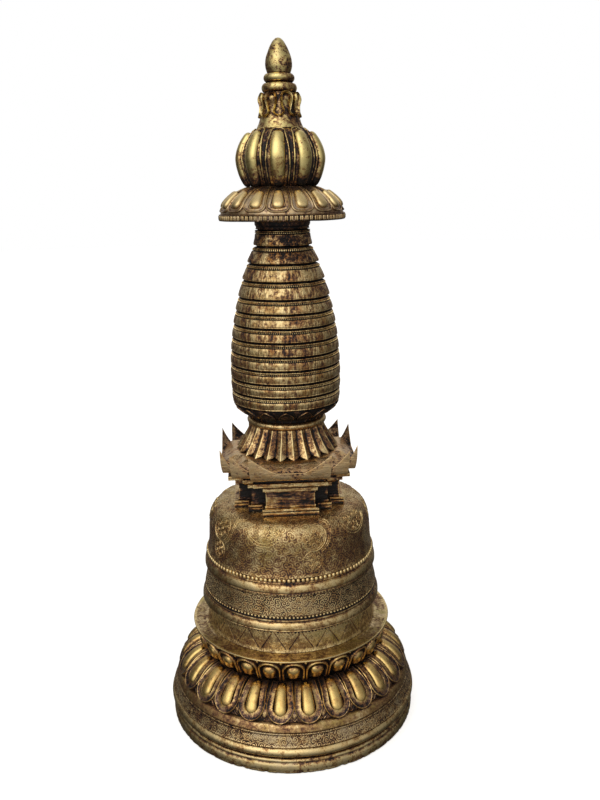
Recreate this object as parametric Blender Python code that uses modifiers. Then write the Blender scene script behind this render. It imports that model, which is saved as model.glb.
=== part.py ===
"""A gilt copper stupa statuette: a lotus base, drum, dome, stepped harmika, ringed spire, parasol and finial.

Every course is its own hollow piece, stacked from the foot to the bud with a small joint between them.
Units are metres, +Z is up, the front faces -Y, and the origin is the centre of the foot on the ground.
"""

from math import cos, pi, radians, sin, sqrt, tau

import bmesh
import bpy

# Joints, walls and fineness

GAP = 0.0003
WALL = 0.003
BASE_STEPS = 36
SPIRE_STEPS = 24
TIP_STEPS = 20

# Heights of the courses above the ground

FOOT_TOP = 0.0195
BASE_TORUS_TOP = 0.0315
LOWER_BAND_TOP = 0.0461
LEDGE_TOP = 0.0545
LOWER_LOTUS_TOP = 0.0876
UPPER_LOTUS_TOP = 0.1141
DRUM_RIM_TOP = 0.1166
DRUM_TOP = 0.1402
DRUM_TORUS_TOP = 0.1549
DRUM_BEADS_TOP = 0.1619
SCROLL_BAND_TOP = 0.1822
DOME_TORUS_TOP = 0.1971
DOME_BEADS_TOP = 0.2033
DOME_TOP = 0.2602
PLINTH_TOP = 0.2682
BLOCK_TOP = 0.2873
CORNICE_TOP = 0.3045
CROWN_EDGE = 0.3161
CROWN_ROOF = 0.3212
SKIRT_TOP = 0.3497
BASE_RING_TOP = 0.3581
CALYX_TOP = 0.3752
LOWER_RINGS_TOP = 0.4909
SPIRE_TOP = 0.5619
COLLAR_TOP = 0.5710
BEAD_RIM_TOP = 0.5777
PARASOL_TOP = 0.6056
MELON_TOP = 0.6624
NECK_TOP = 0.6968
RING_LOWER_TOP = 0.7069
RING_UPPER_TOP = 0.7162
TOTAL_HEIGHT = 0.7500

# Radii of the courses, outside, at the foot and the head of each

FOOT_RADIUS = 0.1436
BASE_TORUS_RADIUS = 0.1451
LOWER_BAND_RADII = (0.1432, 0.1384)
LEDGE_RADII = (0.1382, 0.1356)
LOWER_LOTUS_RADII = (0.1354, 0.1040)
UPPER_LOTUS_RADII = (0.1062, 0.1136)
DRUM_RIM_RADIUS = 0.1153
DRUM_RADII = (0.0982, 0.0970)
DRUM_TORUS_RADIUS = 0.1030
DRUM_BEADS_RADIUS = 0.1004
SCROLL_BAND_RADII = (0.0998, 0.0956)
DOME_TORUS_RADIUS = 0.0989
DOME_BEADS_RADIUS = 0.0962
DOME_RADIUS = 0.0921
SKIRT_RADII = (0.0566, 0.0412)
BASE_RING_RADIUS = 0.0441
CALYX_RADII = (0.0405, 0.0581)
COLLAR_RADIUS = 0.0296
PARASOL_RADIUS = 0.0662
BEAD_RIM_RADIUS = 0.0676
MELON_RADIUS = 0.0461
RING_LOWER_RADIUS = 0.0181
RING_UPPER_RADIUS = 0.0158
BUD_RADIUS = 0.0138

# Petals, lobes, flutes and the turn of the harmika on the dome

PETAL_COUNT = 26
LOWER_PETAL_TURN = radians(8.3)
UPPER_PETAL_TURN = radians(1.4)
MELON_LOBES = 9
MELON_TURN = radians(-3.7)
NECK_LEAVES = 8
NECK_TURN = radians(20.5)
FLUTE_COUNT = 23
FLUTE_TURN = radians(-7.0)
HARMIKA_TURN = radians(3.0)

# The spire's outline is a parabola about its widest height

SPIRE_WIDEST_HEIGHT = 0.4050
SPIRE_WIDEST_RADIUS = 0.0600
SPIRE_TAPER = 1.493
SPIRE_LEAST_RADIUS = 0.0292
LOWER_RING_COUNT = 8
UPPER_RING_COUNT = 4

# How full the domed outlines are: 2 is an ellipse, 1 a straight cone

LOTUS_FULLNESS = 1.7
PARASOL_FULLNESS = 1.54
MELON_FULLNESS = 1.5
BUD_FULLNESS = 1.4

# Stepped plans of the harmika: half-width of the projecting face, its distance out, and the corner square

PLINTH_PLAN = (0.0306, 0.0613, 0.0458)
BLOCK_PLAN = (0.0263, 0.0566, 0.0425)
CORNICE_FOOT_PLAN = (0.0295, 0.0596, 0.0458)
CORNICE_HEAD_PLAN = (0.0400, 0.0668, 0.0510)
CORNICE_NECK_PLAN = (0.0375, 0.0640, 0.0495)
CROWN_PLAN = (0.0437, 0.0746, 0.0638)
ROOF_PLAN = (0.0360, 0.0625, 0.0540)
HORN_HEIGHT = 0.0165
HORN_LEG = 0.0139

# Colours of the worn gilding and the bronze under it: red, green, blue, roughness

BRIGHT_GILT = (0.62, 0.42, 0.13, 0.34)
WORN_GILT = (0.42, 0.28, 0.10, 0.42)
OLIVE_BRONZE = (0.22, 0.17, 0.08, 0.48)
RED_BRONZE = (0.27, 0.15, 0.07, 0.45)
DARK_BRONZE = (0.10, 0.07, 0.05, 0.55)


def finish(name, colour):
    """Return a Principled material in one worn metal colour."""
    red, green, blue, roughness = colour
    material = bpy.data.materials.new(name)
    material.use_nodes = True
    shader = material.node_tree.nodes["Principled BSDF"]
    shader.inputs["Base Color"].default_value = (red, green, blue, 1.0)
    shader.inputs["Roughness"].default_value = roughness
    shader.inputs["Metallic"].default_value = 0.9
    material.diffuse_color = (red, green, blue, 1.0)
    return material


def add_part(name, mesh, colour):
    """Place a finished mesh in the stupa as one named part."""
    part = bpy.data.objects.new(name, mesh)
    mesh.materials.append(finish(name, colour))
    stupa.objects.link(part)
    part.parent = axis
    return part


def turned(name, outline, colour, steps):
    """Turn an outline of (radius, height) points about the axis.

    The points run down the outer side and up the inner one. An outline that starts on the axis also ends
    there, and any other is closed into a ring.
    """
    mesh = bpy.data.meshes.new(name)
    bm = bmesh.new()
    points = [bm.verts.new((radius, 0, height)) for radius, height in outline]
    for start, end in zip(points, points[1:]):
        bm.edges.new((start, end))
    if outline[0][0] > 0:
        bm.edges.new((points[-1], points[0]))
    bm.to_mesh(mesh)
    bm.free()
    part = add_part(name, mesh, colour)
    screw = part.modifiers.new("Turn", "SCREW")
    screw.axis = "Z"
    screw.steps = steps
    screw.render_steps = steps
    screw.use_merge_vertices = True
    screw.merge_threshold = 0.00005
    screw.use_smooth_shade = True
    return part


def lofted(name, rows, colour):
    """Join rows of points, each row closed round the axis, and the last row to the first."""
    mesh = bpy.data.meshes.new(name)
    bm = bmesh.new()
    loops = [[bm.verts.new(point) for point in row] for row in rows]
    for upper, lower in zip(loops, loops[1:] + loops[:1]):
        for index in range(len(upper)):
            after = (index + 1) % len(upper)
            bm.faces.new((upper[index], lower[index], lower[after], upper[after]))
    bm.to_mesh(mesh)
    bm.free()
    mesh.shade_smooth()
    mesh.set_sharp_from_angle(angle=radians(40))
    return add_part(name, mesh, colour)


def bulge(base_radius, full_radius, low, high, points):
    """Return the half round of a ring: points from its head out over its belly to its foot."""
    middle = (low + high) / 2
    half = (high - low) / 2
    angles = [pi / 2 - pi * step / (points - 1) for step in range(points)]
    return [(base_radius + (full_radius - base_radius) * cos(a), middle + half * sin(a)) for a in angles]


def wave(angle, count, turn):
    """Return 1 on the middle of each of count lobes and 0 between them, with rounded lobes."""
    return abs(cos((angle - turn) * count / 2)) ** 0.7


def lobed_row(radius, height, depth, count, turn, fineness, lift=0.0):
    """Return one row of a lobed piece: depth is how far the lobes stand out, lift how far they rise."""
    row = []
    for step in range(count * fineness):
        around = turn + tau * step / (count * fineness)
        lobe = wave(around, count, turn)
        reach = radius - depth * (1 - lobe)
        row.append((reach * sin(around), -reach * cos(around), height + lift * lobe))
    return row


def inner_row(radius, height, count, turn, fineness):
    """Return a round row with its points in line with those of a lobed row."""
    return lobed_row(radius, height, 0.0, count, turn, fineness)


def between(pair, share):
    """Return the value a share of the way from the first of a pair to the second."""
    return pair[0] + (pair[1] - pair[0]) * share


def band(name, low, high, radii, wall, colour):
    """Make a plain sloping course with radii at its foot and its head."""
    foot, head = radii
    outline = [(head, high - GAP), (foot, low), (foot - wall, low), (head - wall, high - GAP)]
    return turned(name, outline, colour, BASE_STEPS)


def make_base():
    """Make the foot, the base ring, the scroll band and the ledge, with the plate that closes the foot."""
    foot_bore = 0.130
    plate_radius = 0.1342
    plate_low, plate_high = 0.0020, 0.0035
    seat = plate_high + GAP
    groove_radius, groove_low = 0.1395, 0.0172
    belly_low, belly_high = 0.0030, 0.0125
    heel_radius = FOOT_RADIUS - 0.0025
    turned("base_plate", [(0, plate_high), (plate_radius, plate_high), (plate_radius, plate_low),
                          (0, plate_low)], OLIVE_BRONZE, BASE_STEPS)
    turned("foot_ring", [(groove_radius, FOOT_TOP - GAP), (groove_radius, groove_low), (FOOT_RADIUS, belly_high),
                         (FOOT_RADIUS, belly_low), (heel_radius, 0.0), (plate_radius + GAP, 0.0),
                         (plate_radius + GAP, seat), (foot_bore, seat), (foot_bore, FOOT_TOP - GAP)],
           WORN_GILT, BASE_STEPS)
    torus_bore, torus_root = 0.1310, 0.1405
    torus = bulge(torus_root, BASE_TORUS_RADIUS, FOOT_TOP, BASE_TORUS_TOP - GAP, 5)
    turned("base_torus", torus + [(torus_bore, FOOT_TOP), (torus_bore, BASE_TORUS_TOP - GAP)], BRIGHT_GILT,
           BASE_STEPS)
    band("lower_scroll_band", BASE_TORUS_TOP, LOWER_BAND_TOP, LOWER_BAND_RADII, 0.0095, RED_BRONZE)
    band("lotus_ledge", LOWER_BAND_TOP, LEDGE_TOP, LEDGE_RADII, 0.0110, WORN_GILT)


def make_lotus():
    """Make the two courses of petals: large ones that point down, and small square ones above."""
    fineness = 4
    low, high = LEDGE_TOP, LOWER_LOTUS_TOP - GAP
    rise = high - low

    foot_radius, head_radius = LOWER_LOTUS_RADII

    def lower_petals(share, depth):
        spread = (1 - share ** LOTUS_FULLNESS) ** (1 / LOTUS_FULLNESS)
        radius = head_radius + (foot_radius - head_radius) * spread
        return lobed_row(radius, low + rise * share, depth, PETAL_COUNT, LOWER_PETAL_TURN, fineness)

    rows = [lower_petals(1.00, 0.0012), lower_petals(0.93, 0.0026), lower_petals(0.76, 0.0040),
            lower_petals(0.48, 0.0045), lower_petals(0.18, 0.0045), lower_petals(0.00, 0.0040),
            inner_row(foot_radius - 0.0120, low, PETAL_COUNT, LOWER_PETAL_TURN, fineness),
            inner_row(head_radius - 0.0110, high, PETAL_COUNT, LOWER_PETAL_TURN, fineness)]
    lofted("lower_lotus", rows, WORN_GILT)

    base, head = LOWER_LOTUS_TOP, UPPER_LOTUS_TOP - GAP
    lip = head - base

    def upper_petals(share, radius, depth):
        return lobed_row(radius, base + lip * share, depth, PETAL_COUNT, UPPER_PETAL_TURN, fineness)

    foot_radius, head_radius = UPPER_LOTUS_RADII
    rows = [upper_petals(1.00, head_radius, 0.0014),
            upper_petals(0.70, head_radius - 0.0006, 0.0026),
            upper_petals(0.00, foot_radius - 0.0012, 0.0014),
            inner_row(foot_radius - 0.0110, base, PETAL_COUNT, UPPER_PETAL_TURN, fineness),
            inner_row(head_radius - 0.0110, head, PETAL_COUNT, UPPER_PETAL_TURN, fineness)]
    lofted("upper_lotus", rows, RED_BRONZE)


def filleted_torus(name, low, high, fillet, radius, fillet_radius, bore):
    """Make a round ring with a low plain fillet under it."""
    ring_low = low + fillet
    outline = bulge(radius - 0.0036, radius, ring_low, high - GAP, 5)
    outline += [(fillet_radius, ring_low), (fillet_radius, low), (bore, low), (bore, high - GAP)]
    return turned(name, outline, BRIGHT_GILT, BASE_STEPS)


def make_drum():
    """Make the flared brim, the upright zigzag wall, and the rings and bands up to the foot of the dome."""
    brim_bore, brim_top = 0.0888, DRUM_RIM_TOP - GAP
    turned("drum_rim", [(DRUM_RADII[0] + 0.0010, brim_top), (0.1060, brim_top - 0.0007),
                        (0.1120, brim_top - 0.0005), (DRUM_RIM_RADIUS - 0.0006, brim_top),
                        (DRUM_RIM_RADIUS, brim_top - 0.0008), (DRUM_RIM_RADIUS - 0.0007, UPPER_LOTUS_TOP),
                        (brim_bore, UPPER_LOTUS_TOP), (brim_bore, brim_top)], WORN_GILT, BASE_STEPS)
    band("zigzag_drum", DRUM_RIM_TOP, DRUM_TOP, DRUM_RADII, 0.0085, OLIVE_BRONZE)
    filleted_torus("drum_torus", DRUM_TOP, DRUM_TORUS_TOP, 0.0043, DRUM_TORUS_RADIUS, 0.0986, 0.0900)
    beads_low, beads_high = DRUM_TORUS_TOP, DRUM_BEADS_TOP - GAP
    turned("drum_bead_course", [(DRUM_BEADS_RADIUS - 0.0012, beads_high), (DRUM_BEADS_RADIUS, beads_high - 0.0020),
                                (DRUM_BEADS_RADIUS, beads_low), (0.0925, beads_low), (0.0910, beads_high)],
           OLIVE_BRONZE, BASE_STEPS)
    band("drum_scroll_band", DRUM_BEADS_TOP, SCROLL_BAND_TOP, SCROLL_BAND_RADII, 0.0080, RED_BRONZE)
    filleted_torus("dome_torus", SCROLL_BAND_TOP, DOME_TORUS_TOP, 0.0034, DOME_TORUS_RADIUS, 0.0957, 0.0875)


def make_dome():
    """Make the pearl course and the dome: a flared foot, a near upright side, a round shoulder, a flat top."""
    bore = 0.0870
    beads_high = DOME_BEADS_TOP - GAP
    turned("dome_bead_course", [(DOME_BEADS_RADIUS - 0.0010, beads_high), (DOME_BEADS_RADIUS + 0.0012, 0.2002),
                                (DOME_BEADS_RADIUS - 0.0010, DOME_TORUS_TOP), (bore, DOME_TORUS_TOP),
                                (bore, beads_high)], BRIGHT_GILT, BASE_STEPS)
    foot_radius = 0.0953
    side_low, side_high = 0.2160, 0.2370
    shoulder_radius = 0.0200
    flat_radius = 0.0660
    shoulder_height = DOME_TOP - side_high
    arc_centre = DOME_RADIUS - 0.0006 - shoulder_radius

    def shoulder(inset, points):
        reach = shoulder_radius - inset
        rise = shoulder_height - inset
        angles = [radians(78) * (1 - step / (points - 1)) for step in range(points)]
        return [(arc_centre + reach * cos(a), side_high + (rise - 0.0004) * sin(a) / sin(radians(78)))
                for a in angles]

    outer = [(0, DOME_TOP), (flat_radius, DOME_TOP)] + shoulder(0.0, 5)
    outer += [(DOME_RADIUS + 0.0005, side_low), (foot_radius, DOME_BEADS_TOP)]
    inner = [(foot_radius - 2 * WALL, DOME_BEADS_TOP)]
    inner += list(reversed(shoulder(WALL, 3))) + [(0, DOME_TOP - WALL)]
    turned("dome", outer + inner, OLIVE_BRONZE, BASE_STEPS)


def stepped_plan(plan):
    """Return the twenty corners of a square with doubly stepped corners, from the front towards +X."""
    half, out, square = plan
    quarter = [(-half, -out), (half, -out), (half, -square), (square, -square), (square, -half)]
    corners = []
    for turn in range(4):
        for x, y in quarter:
            for _ in range(turn):
                x, y = -y, x
            corners.append((x, y))
    return corners


def plan_row(plan, height):
    """Return a stepped plan as a row of points at a height, turned with the harmika."""
    turn_x, turn_y = cos(HARMIKA_TURN), sin(HARMIKA_TURN)
    return [(x * turn_x - y * turn_y, x * turn_y + y * turn_x, height) for x, y in stepped_plan(plan)]


def inset_plan(plan, inset):
    """Return a stepped plan moved in by the same distance on every face."""
    half, out, square = plan
    return (half - inset, out - inset, square - inset)


def stepped_tube(name, levels, bore_plan, colour):
    """Loft a stepped body through (plan, height) levels, from the head down, with a stepped hole through it."""
    rows = [plan_row(plan, height) for plan, height in levels]
    rows += [plan_row(bore_plan, levels[-1][1]), plan_row(bore_plan, levels[0][1])]
    return lofted(name, rows, colour)


def make_harmika():
    """Make the plinth, block, cornice and crown, all on plans with stepped corners."""
    plinth_groove = 0.0012
    groove_low, groove_high = DOME_TOP + 0.0034, DOME_TOP + 0.0046
    bore = inset_plan(BLOCK_PLAN, 2 * WALL)
    stepped_tube("harmika_plinth", [(PLINTH_PLAN, PLINTH_TOP - GAP), (PLINTH_PLAN, groove_high),
                                    (inset_plan(PLINTH_PLAN, plinth_groove), groove_high - GAP),
                                    (inset_plan(PLINTH_PLAN, plinth_groove), groove_low + GAP),
                                    (PLINTH_PLAN, groove_low), (PLINTH_PLAN, DOME_TOP + GAP)], bore, WORN_GILT)
    stepped_tube("harmika_block", [(BLOCK_PLAN, BLOCK_TOP - GAP), (BLOCK_PLAN, PLINTH_TOP)], bore, RED_BRONZE)
    foot_high, head_low, head_high = 0.2910, 0.2949, 0.2994
    stepped_tube("harmika_cornice", [(CORNICE_NECK_PLAN, CORNICE_TOP - GAP), (CORNICE_NECK_PLAN, head_high),
                                     (CORNICE_HEAD_PLAN, head_high - GAP), (CORNICE_HEAD_PLAN, head_low),
                                     (CORNICE_FOOT_PLAN, foot_high), (CORNICE_FOOT_PLAN, BLOCK_TOP)],
                 bore, WORN_GILT)
    make_crown(inset_plan(CORNICE_NECK_PLAN, 2 * WALL))


def make_crown(bore_plan):
    """Make the crown: a stepped slab with a low roof, and a three-sided horn on each outward corner."""
    rows = [plan_row(ROOF_PLAN, CROWN_ROOF), plan_row(CROWN_PLAN, CROWN_EDGE), plan_row(CROWN_PLAN, CORNICE_TOP),
            plan_row(bore_plan, CORNICE_TOP), plan_row(bore_plan, CROWN_ROOF)]
    crown = lofted("harmika_crown", rows, RED_BRONZE)
    corners = plan_row(CROWN_PLAN, CROWN_EDGE)
    count = len(corners)
    bm = bmesh.new()
    for index, corner in enumerate(corners):
        before, after = corners[index - 1], corners[(index + 1) % count]
        if not is_outward(before, corner, after):
            continue
        add_horn(bm, corner, along(corner, before, HORN_LEG), along(corner, after, HORN_LEG))
    mesh = bpy.data.meshes.new("horns")
    bm.to_mesh(mesh)
    bm.free()
    horns = bpy.data.objects.new("horns", mesh)
    cutters.objects.link(horns)
    horns.parent = axis
    horns.hide_render = True
    horns.display_type = "WIRE"
    join = crown.modifiers.new("Horns", "BOOLEAN")
    join.operation = "UNION"
    join.solver = "EXACT"
    join.object = horns


def is_outward(before, corner, after):
    """Tell whether a plan that runs counter-clockwise turns left at this corner."""
    first = (corner[0] - before[0], corner[1] - before[1])
    second = (after[0] - corner[0], after[1] - corner[1])
    return first[0] * second[1] - first[1] * second[0] > 0


def along(start, end, distance):
    """Return the point a distance from start towards end, and always short of end."""
    length = sqrt((end[0] - start[0]) ** 2 + (end[1] - start[1]) ** 2)
    share = min(distance / length, 0.97)
    return (start[0] + (end[0] - start[0]) * share, start[1] + (end[1] - start[1]) * share, start[2])


def add_horn(bm, corner, left, right):
    """Add one horn: a corner post whose two faces fall away along the crown's edges, rooted in the crown."""
    root = 0.0040
    middle = ((left[0] + right[0]) / 2, (left[1] + right[1]) / 2)
    inward = ((middle[0] - corner[0]) * 0.01, (middle[1] - corner[1]) * 0.01)

    def sunk(point, height):
        return bm.verts.new((point[0] + inward[0], point[1] + inward[1], height))

    feet = [sunk(point, CROWN_EDGE - root) for point in (corner, left, right)]
    heads = [sunk(corner, CROWN_EDGE + HORN_HEIGHT), sunk(left, CROWN_EDGE + GAP), sunk(right, CROWN_EDGE + GAP)]
    faces = [bm.faces.new(feet), bm.faces.new(heads)]
    for index in range(3):
        after = (index + 1) % 3
        faces.append(bm.faces.new((feet[index], feet[after], heads[after], heads[index])))
    bmesh.ops.recalc_face_normals(bm, faces=faces)


def make_skirt():
    """Make the fluted bell whose hem rises and falls with its flutes."""
    fineness = 4
    foot_radius, head_radius = SKIRT_RADII
    hem = CROWN_ROOF + GAP
    hem_rise = 0.0022
    rise = SKIRT_TOP - GAP - hem

    def flutes(share, radius, depth, lift=0.0):
        return lobed_row(radius, hem + rise * share, depth, FLUTE_COUNT, FLUTE_TURN, fineness, lift)

    rows = [flutes(1.00, head_radius, 0.0004),
            flutes(0.50, between(SKIRT_RADII, 0.42), 0.0026),
            flutes(hem_rise / rise, foot_radius, 0.0038, -hem_rise),
            flutes(hem_rise / rise, foot_radius - 2 * WALL, 0.0, -hem_rise),
            inner_row(head_radius - 1.5 * WALL, SKIRT_TOP - GAP, FLUTE_COUNT, FLUTE_TURN, fineness)]
    lofted("pleated_skirt", rows, WORN_GILT)


def spire_radius(height):
    """Return the spire's radius at a height: a parabola, with a least radius under the collar."""
    taper = SPIRE_TAPER * (height - SPIRE_WIDEST_HEIGHT) ** 2
    return max(SPIRE_WIDEST_RADIUS - taper, SPIRE_LEAST_RADIUS)


def make_spire():
    """Make the base ring, the calyx, the twelve stacked rings and the collar under the parasol."""
    bore = 0.0300
    ring = bulge(BASE_RING_RADIUS - 0.0045, BASE_RING_RADIUS, SKIRT_TOP, BASE_RING_TOP - GAP, 5)
    turned("spire_base_ring", ring + [(bore, SKIRT_TOP), (bore, BASE_RING_TOP - GAP)], BRIGHT_GILT, SPIRE_STEPS)
    foot_radius, head_radius = CALYX_RADII
    rise = CALYX_TOP - BASE_RING_TOP
    turned("spire_calyx", [(head_radius, CALYX_TOP - GAP), (head_radius, CALYX_TOP - 0.14 * rise),
                           (head_radius - 0.0045, CALYX_TOP - 0.42 * rise),
                           (foot_radius + 0.0030, BASE_RING_TOP + 0.24 * rise), (foot_radius, BASE_RING_TOP),
                           (bore, BASE_RING_TOP), (bore, CALYX_TOP - GAP)], DARK_BRONZE, SPIRE_STEPS)
    lower_pitch = (LOWER_RINGS_TOP - CALYX_TOP) / LOWER_RING_COUNT
    upper_pitch = (SPIRE_TOP - LOWER_RINGS_TOP) / UPPER_RING_COUNT
    count = LOWER_RING_COUNT + UPPER_RING_COUNT
    for index in range(count):
        above = max(index - LOWER_RING_COUNT, 0)
        low = CALYX_TOP + lower_pitch * min(index, LOWER_RING_COUNT) + upper_pitch * above
        pitch = lower_pitch if index < LOWER_RING_COUNT else upper_pitch
        make_spire_ring(f"spire_ring_{count - index:02d}", low, low + pitch)
    collar_bore = COLLAR_RADIUS - 3 * WALL
    turned("spire_collar", [(COLLAR_RADIUS, COLLAR_TOP - GAP), (COLLAR_RADIUS, SPIRE_TOP),
                            (collar_bore, SPIRE_TOP), (collar_bore, COLLAR_TOP - GAP)], DARK_BRONZE, SPIRE_STEPS)


def make_spire_ring(name, low, high):
    """Make one ring of the spire: a rounded band over a small lip, cut back at its head under the next ring."""
    lip = 0.0018
    neck = 0.0016
    pitch = high - low
    head, foot = spire_radius(high), spire_radius(low)
    middle = spire_radius(low + 0.5 * pitch)
    wall = 4 * WALL
    turned(name, [(head - neck, high - GAP), (middle + 0.0004, low + 0.5 * pitch), (foot + 0.0002, low + lip),
                  (foot - 0.0005, low), (foot - wall, low), (head - wall, high - GAP)], RED_BRONZE, SPIRE_STEPS)


def make_parasol():
    """Make the parasol: a domed hollow shell on a hub, and the band of beads under its edge."""
    bore = 0.0215
    edge_low, edge_high = BEAD_RIM_TOP + GAP, 0.0006 + BEAD_RIM_TOP + GAP
    head_radius = 0.0335
    rise = PARASOL_TOP - GAP - edge_high
    reach = PARASOL_RADIUS - head_radius

    def cap(points):
        arc = [pi / 2 * step / (points - 1) for step in range(points)]
        power = 2 / PARASOL_FULLNESS
        return [(head_radius + reach * sin(a) ** power, edge_high + rise * abs(cos(a)) ** power) for a in arc]

    outer = [(bore, PARASOL_TOP - GAP)] + cap(5)
    under = [(PARASOL_RADIUS, edge_low), (COLLAR_RADIUS, edge_low), (COLLAR_RADIUS, COLLAR_TOP), (bore, COLLAR_TOP)]
    floor = edge_high + WALL
    hollow = [(bore, floor), (PARASOL_RADIUS - 3 * WALL, floor)]
    hollow += [(head_radius + 0.0100, floor + rise - 4 * WALL), (bore, PARASOL_TOP - 2 * WALL)]
    turned("parasol", outer + under + hollow, WORN_GILT, BASE_STEPS)
    bead_bore = BEAD_RIM_RADIUS - 2 * WALL
    turned("parasol_bead_rim", [(BEAD_RIM_RADIUS, BEAD_RIM_TOP), (BEAD_RIM_RADIUS, COLLAR_TOP),
                                (bead_bore, COLLAR_TOP), (bead_bore, BEAD_RIM_TOP)], BRIGHT_GILT, BASE_STEPS)


def make_finial():
    """Make the lobed melon, the leafed neck, the two rings and the bud."""
    fineness = 4
    low, high = PARASOL_TOP, MELON_TOP - GAP
    belly = 0.6330
    foot_radius, head_radius = 0.0330, 0.0250
    bore = 0.0180

    def lobes(radius, height, depth):
        return lobed_row(radius, height, depth, MELON_LOBES, MELON_TURN, fineness)

    def melon_radius(height):
        edge = foot_radius if height < belly else head_radius
        end = low if height < belly else high
        share = (height - belly) / (end - belly)
        return edge + (MELON_RADIUS - edge) * (1 - share ** MELON_FULLNESS) ** (1 / MELON_FULLNESS)

    shares = (0.88, 0.52)
    heights = [belly + (high - belly) * share for share in shares] + [belly]
    heights += [belly + (low - belly) * share for share in reversed(shares)]
    rows = [lobes(head_radius, high, 0.0)]
    rows += [lobes(melon_radius(height), height, 0.0030) for height in heights]
    rows += [lobes(foot_radius, low, 0.0), lobes(bore, low, 0.0), lobes(bore, high, 0.0)]
    lofted("melon_finial", rows, WORN_GILT)

    neck_bore = 0.0120
    neck_high = NECK_TOP - GAP

    def leaves(radius, height, depth):
        return lobed_row(radius, height, depth, NECK_LEAVES, NECK_TURN, 4)

    foot_flare, foot_top, waist = 0.0250, 0.6690, 0.6800
    rows = [leaves(0.0188, neck_high, 0.0014), leaves(0.0200, waist, 0.0012), leaves(0.0222, foot_top, 0.0),
            leaves(foot_flare, MELON_TOP, 0.0), leaves(neck_bore, MELON_TOP, 0.0),
            leaves(neck_bore, neck_high, 0.0)]
    lofted("leaf_neck", rows, WORN_GILT)

    ring_bore = 0.0080
    for name, foot, head, radius in (("finial_ring_lower", NECK_TOP, RING_LOWER_TOP, RING_LOWER_RADIUS),
                                     ("finial_ring_upper", RING_LOWER_TOP, RING_UPPER_TOP, RING_UPPER_RADIUS)):
        outline = bulge(radius - 0.0042, radius, foot, head - GAP, 5)
        turned(name, outline + [(ring_bore, foot), (ring_bore, head - GAP)], BRIGHT_GILT, TIP_STEPS)

    widest = 0.7235
    base_radius = 0.0124
    rise = TOTAL_HEIGHT - widest
    arc = [pi / 2 * step / 6 for step in range(7)]
    crest = [(BUD_RADIUS * sin(a) ** BUD_FULLNESS, widest + rise * cos(a)) for a in arc]
    turned("bud", crest + [(base_radius, RING_UPPER_TOP), (0, RING_UPPER_TOP)], WORN_GILT, TIP_STEPS)


for leftover in list(bpy.data.objects):
    bpy.data.objects.remove(leftover, do_unlink=True)

stupa = bpy.data.collections.new("stupa")
bpy.context.scene.collection.children.link(stupa)
cutters = bpy.data.collections.new("cutters")
bpy.context.scene.collection.children.link(cutters)
axis = bpy.data.objects.new("axis", None)
stupa.objects.link(axis)

make_base()
make_lotus()
make_drum()
make_dome()
make_harmika()
make_skirt()
make_spire()
make_parasol()
make_finial()
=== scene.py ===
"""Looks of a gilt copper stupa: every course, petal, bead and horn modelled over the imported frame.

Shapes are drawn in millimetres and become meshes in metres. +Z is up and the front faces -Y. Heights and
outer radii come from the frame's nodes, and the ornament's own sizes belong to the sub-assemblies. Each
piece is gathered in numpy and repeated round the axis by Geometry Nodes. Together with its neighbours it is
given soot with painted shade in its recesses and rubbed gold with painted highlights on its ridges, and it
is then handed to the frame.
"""

import logging
from dataclasses import dataclass, field, replace
from enum import Enum
from math import ceil, cos, pi, radians, sin, sqrt, tau
from typing import Sequence, Union

import bmesh
import bpy
import numpy as np
from mathutils import Matrix, Vector


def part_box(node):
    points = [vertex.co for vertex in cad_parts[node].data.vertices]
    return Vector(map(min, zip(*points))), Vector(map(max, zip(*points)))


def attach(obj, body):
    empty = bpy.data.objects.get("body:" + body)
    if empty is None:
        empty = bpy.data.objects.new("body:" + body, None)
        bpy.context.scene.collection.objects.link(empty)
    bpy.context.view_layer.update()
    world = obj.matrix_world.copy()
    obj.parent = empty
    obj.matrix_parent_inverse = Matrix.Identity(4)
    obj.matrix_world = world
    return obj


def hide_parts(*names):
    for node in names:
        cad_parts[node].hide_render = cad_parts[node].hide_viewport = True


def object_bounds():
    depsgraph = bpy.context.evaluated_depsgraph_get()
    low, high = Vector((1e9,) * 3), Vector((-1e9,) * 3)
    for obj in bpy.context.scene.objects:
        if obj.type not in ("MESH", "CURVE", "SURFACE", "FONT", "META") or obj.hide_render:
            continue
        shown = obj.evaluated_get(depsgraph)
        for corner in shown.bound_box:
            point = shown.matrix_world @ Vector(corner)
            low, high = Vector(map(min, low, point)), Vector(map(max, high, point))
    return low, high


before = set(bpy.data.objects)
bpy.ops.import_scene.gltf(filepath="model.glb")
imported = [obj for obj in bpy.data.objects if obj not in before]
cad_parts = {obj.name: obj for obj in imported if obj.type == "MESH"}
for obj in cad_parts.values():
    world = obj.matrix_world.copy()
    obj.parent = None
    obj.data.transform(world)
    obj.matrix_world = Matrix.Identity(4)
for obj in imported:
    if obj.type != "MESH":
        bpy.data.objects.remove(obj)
CAD_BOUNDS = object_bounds()
log = logging.getLogger("stupa")

MM = 0.001
MERGE_DISTANCE = 0.000004
CREASE = radians(62)
FOLD = radians(160)
TEETH = ((9, 0.3), (23, 0.3), (41, 0.35), (67, 0.4), (97, 0.35), (139, 0.3))
WEAR_AND_SHADE_POWER = 1.5
LOBE_POWER = 0.7
SCROLL_POINTS = 11
SCROLL_CLOSING = 0.85
CURL_SHARE = 0.55
GROOVE_SHARE = 0.22
Pair = tuple[float, float]
Triple = tuple[float, float, float]
Outline = list[Pair]
Face = tuple[int, ...]


# Shapes gathered in numpy


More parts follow.
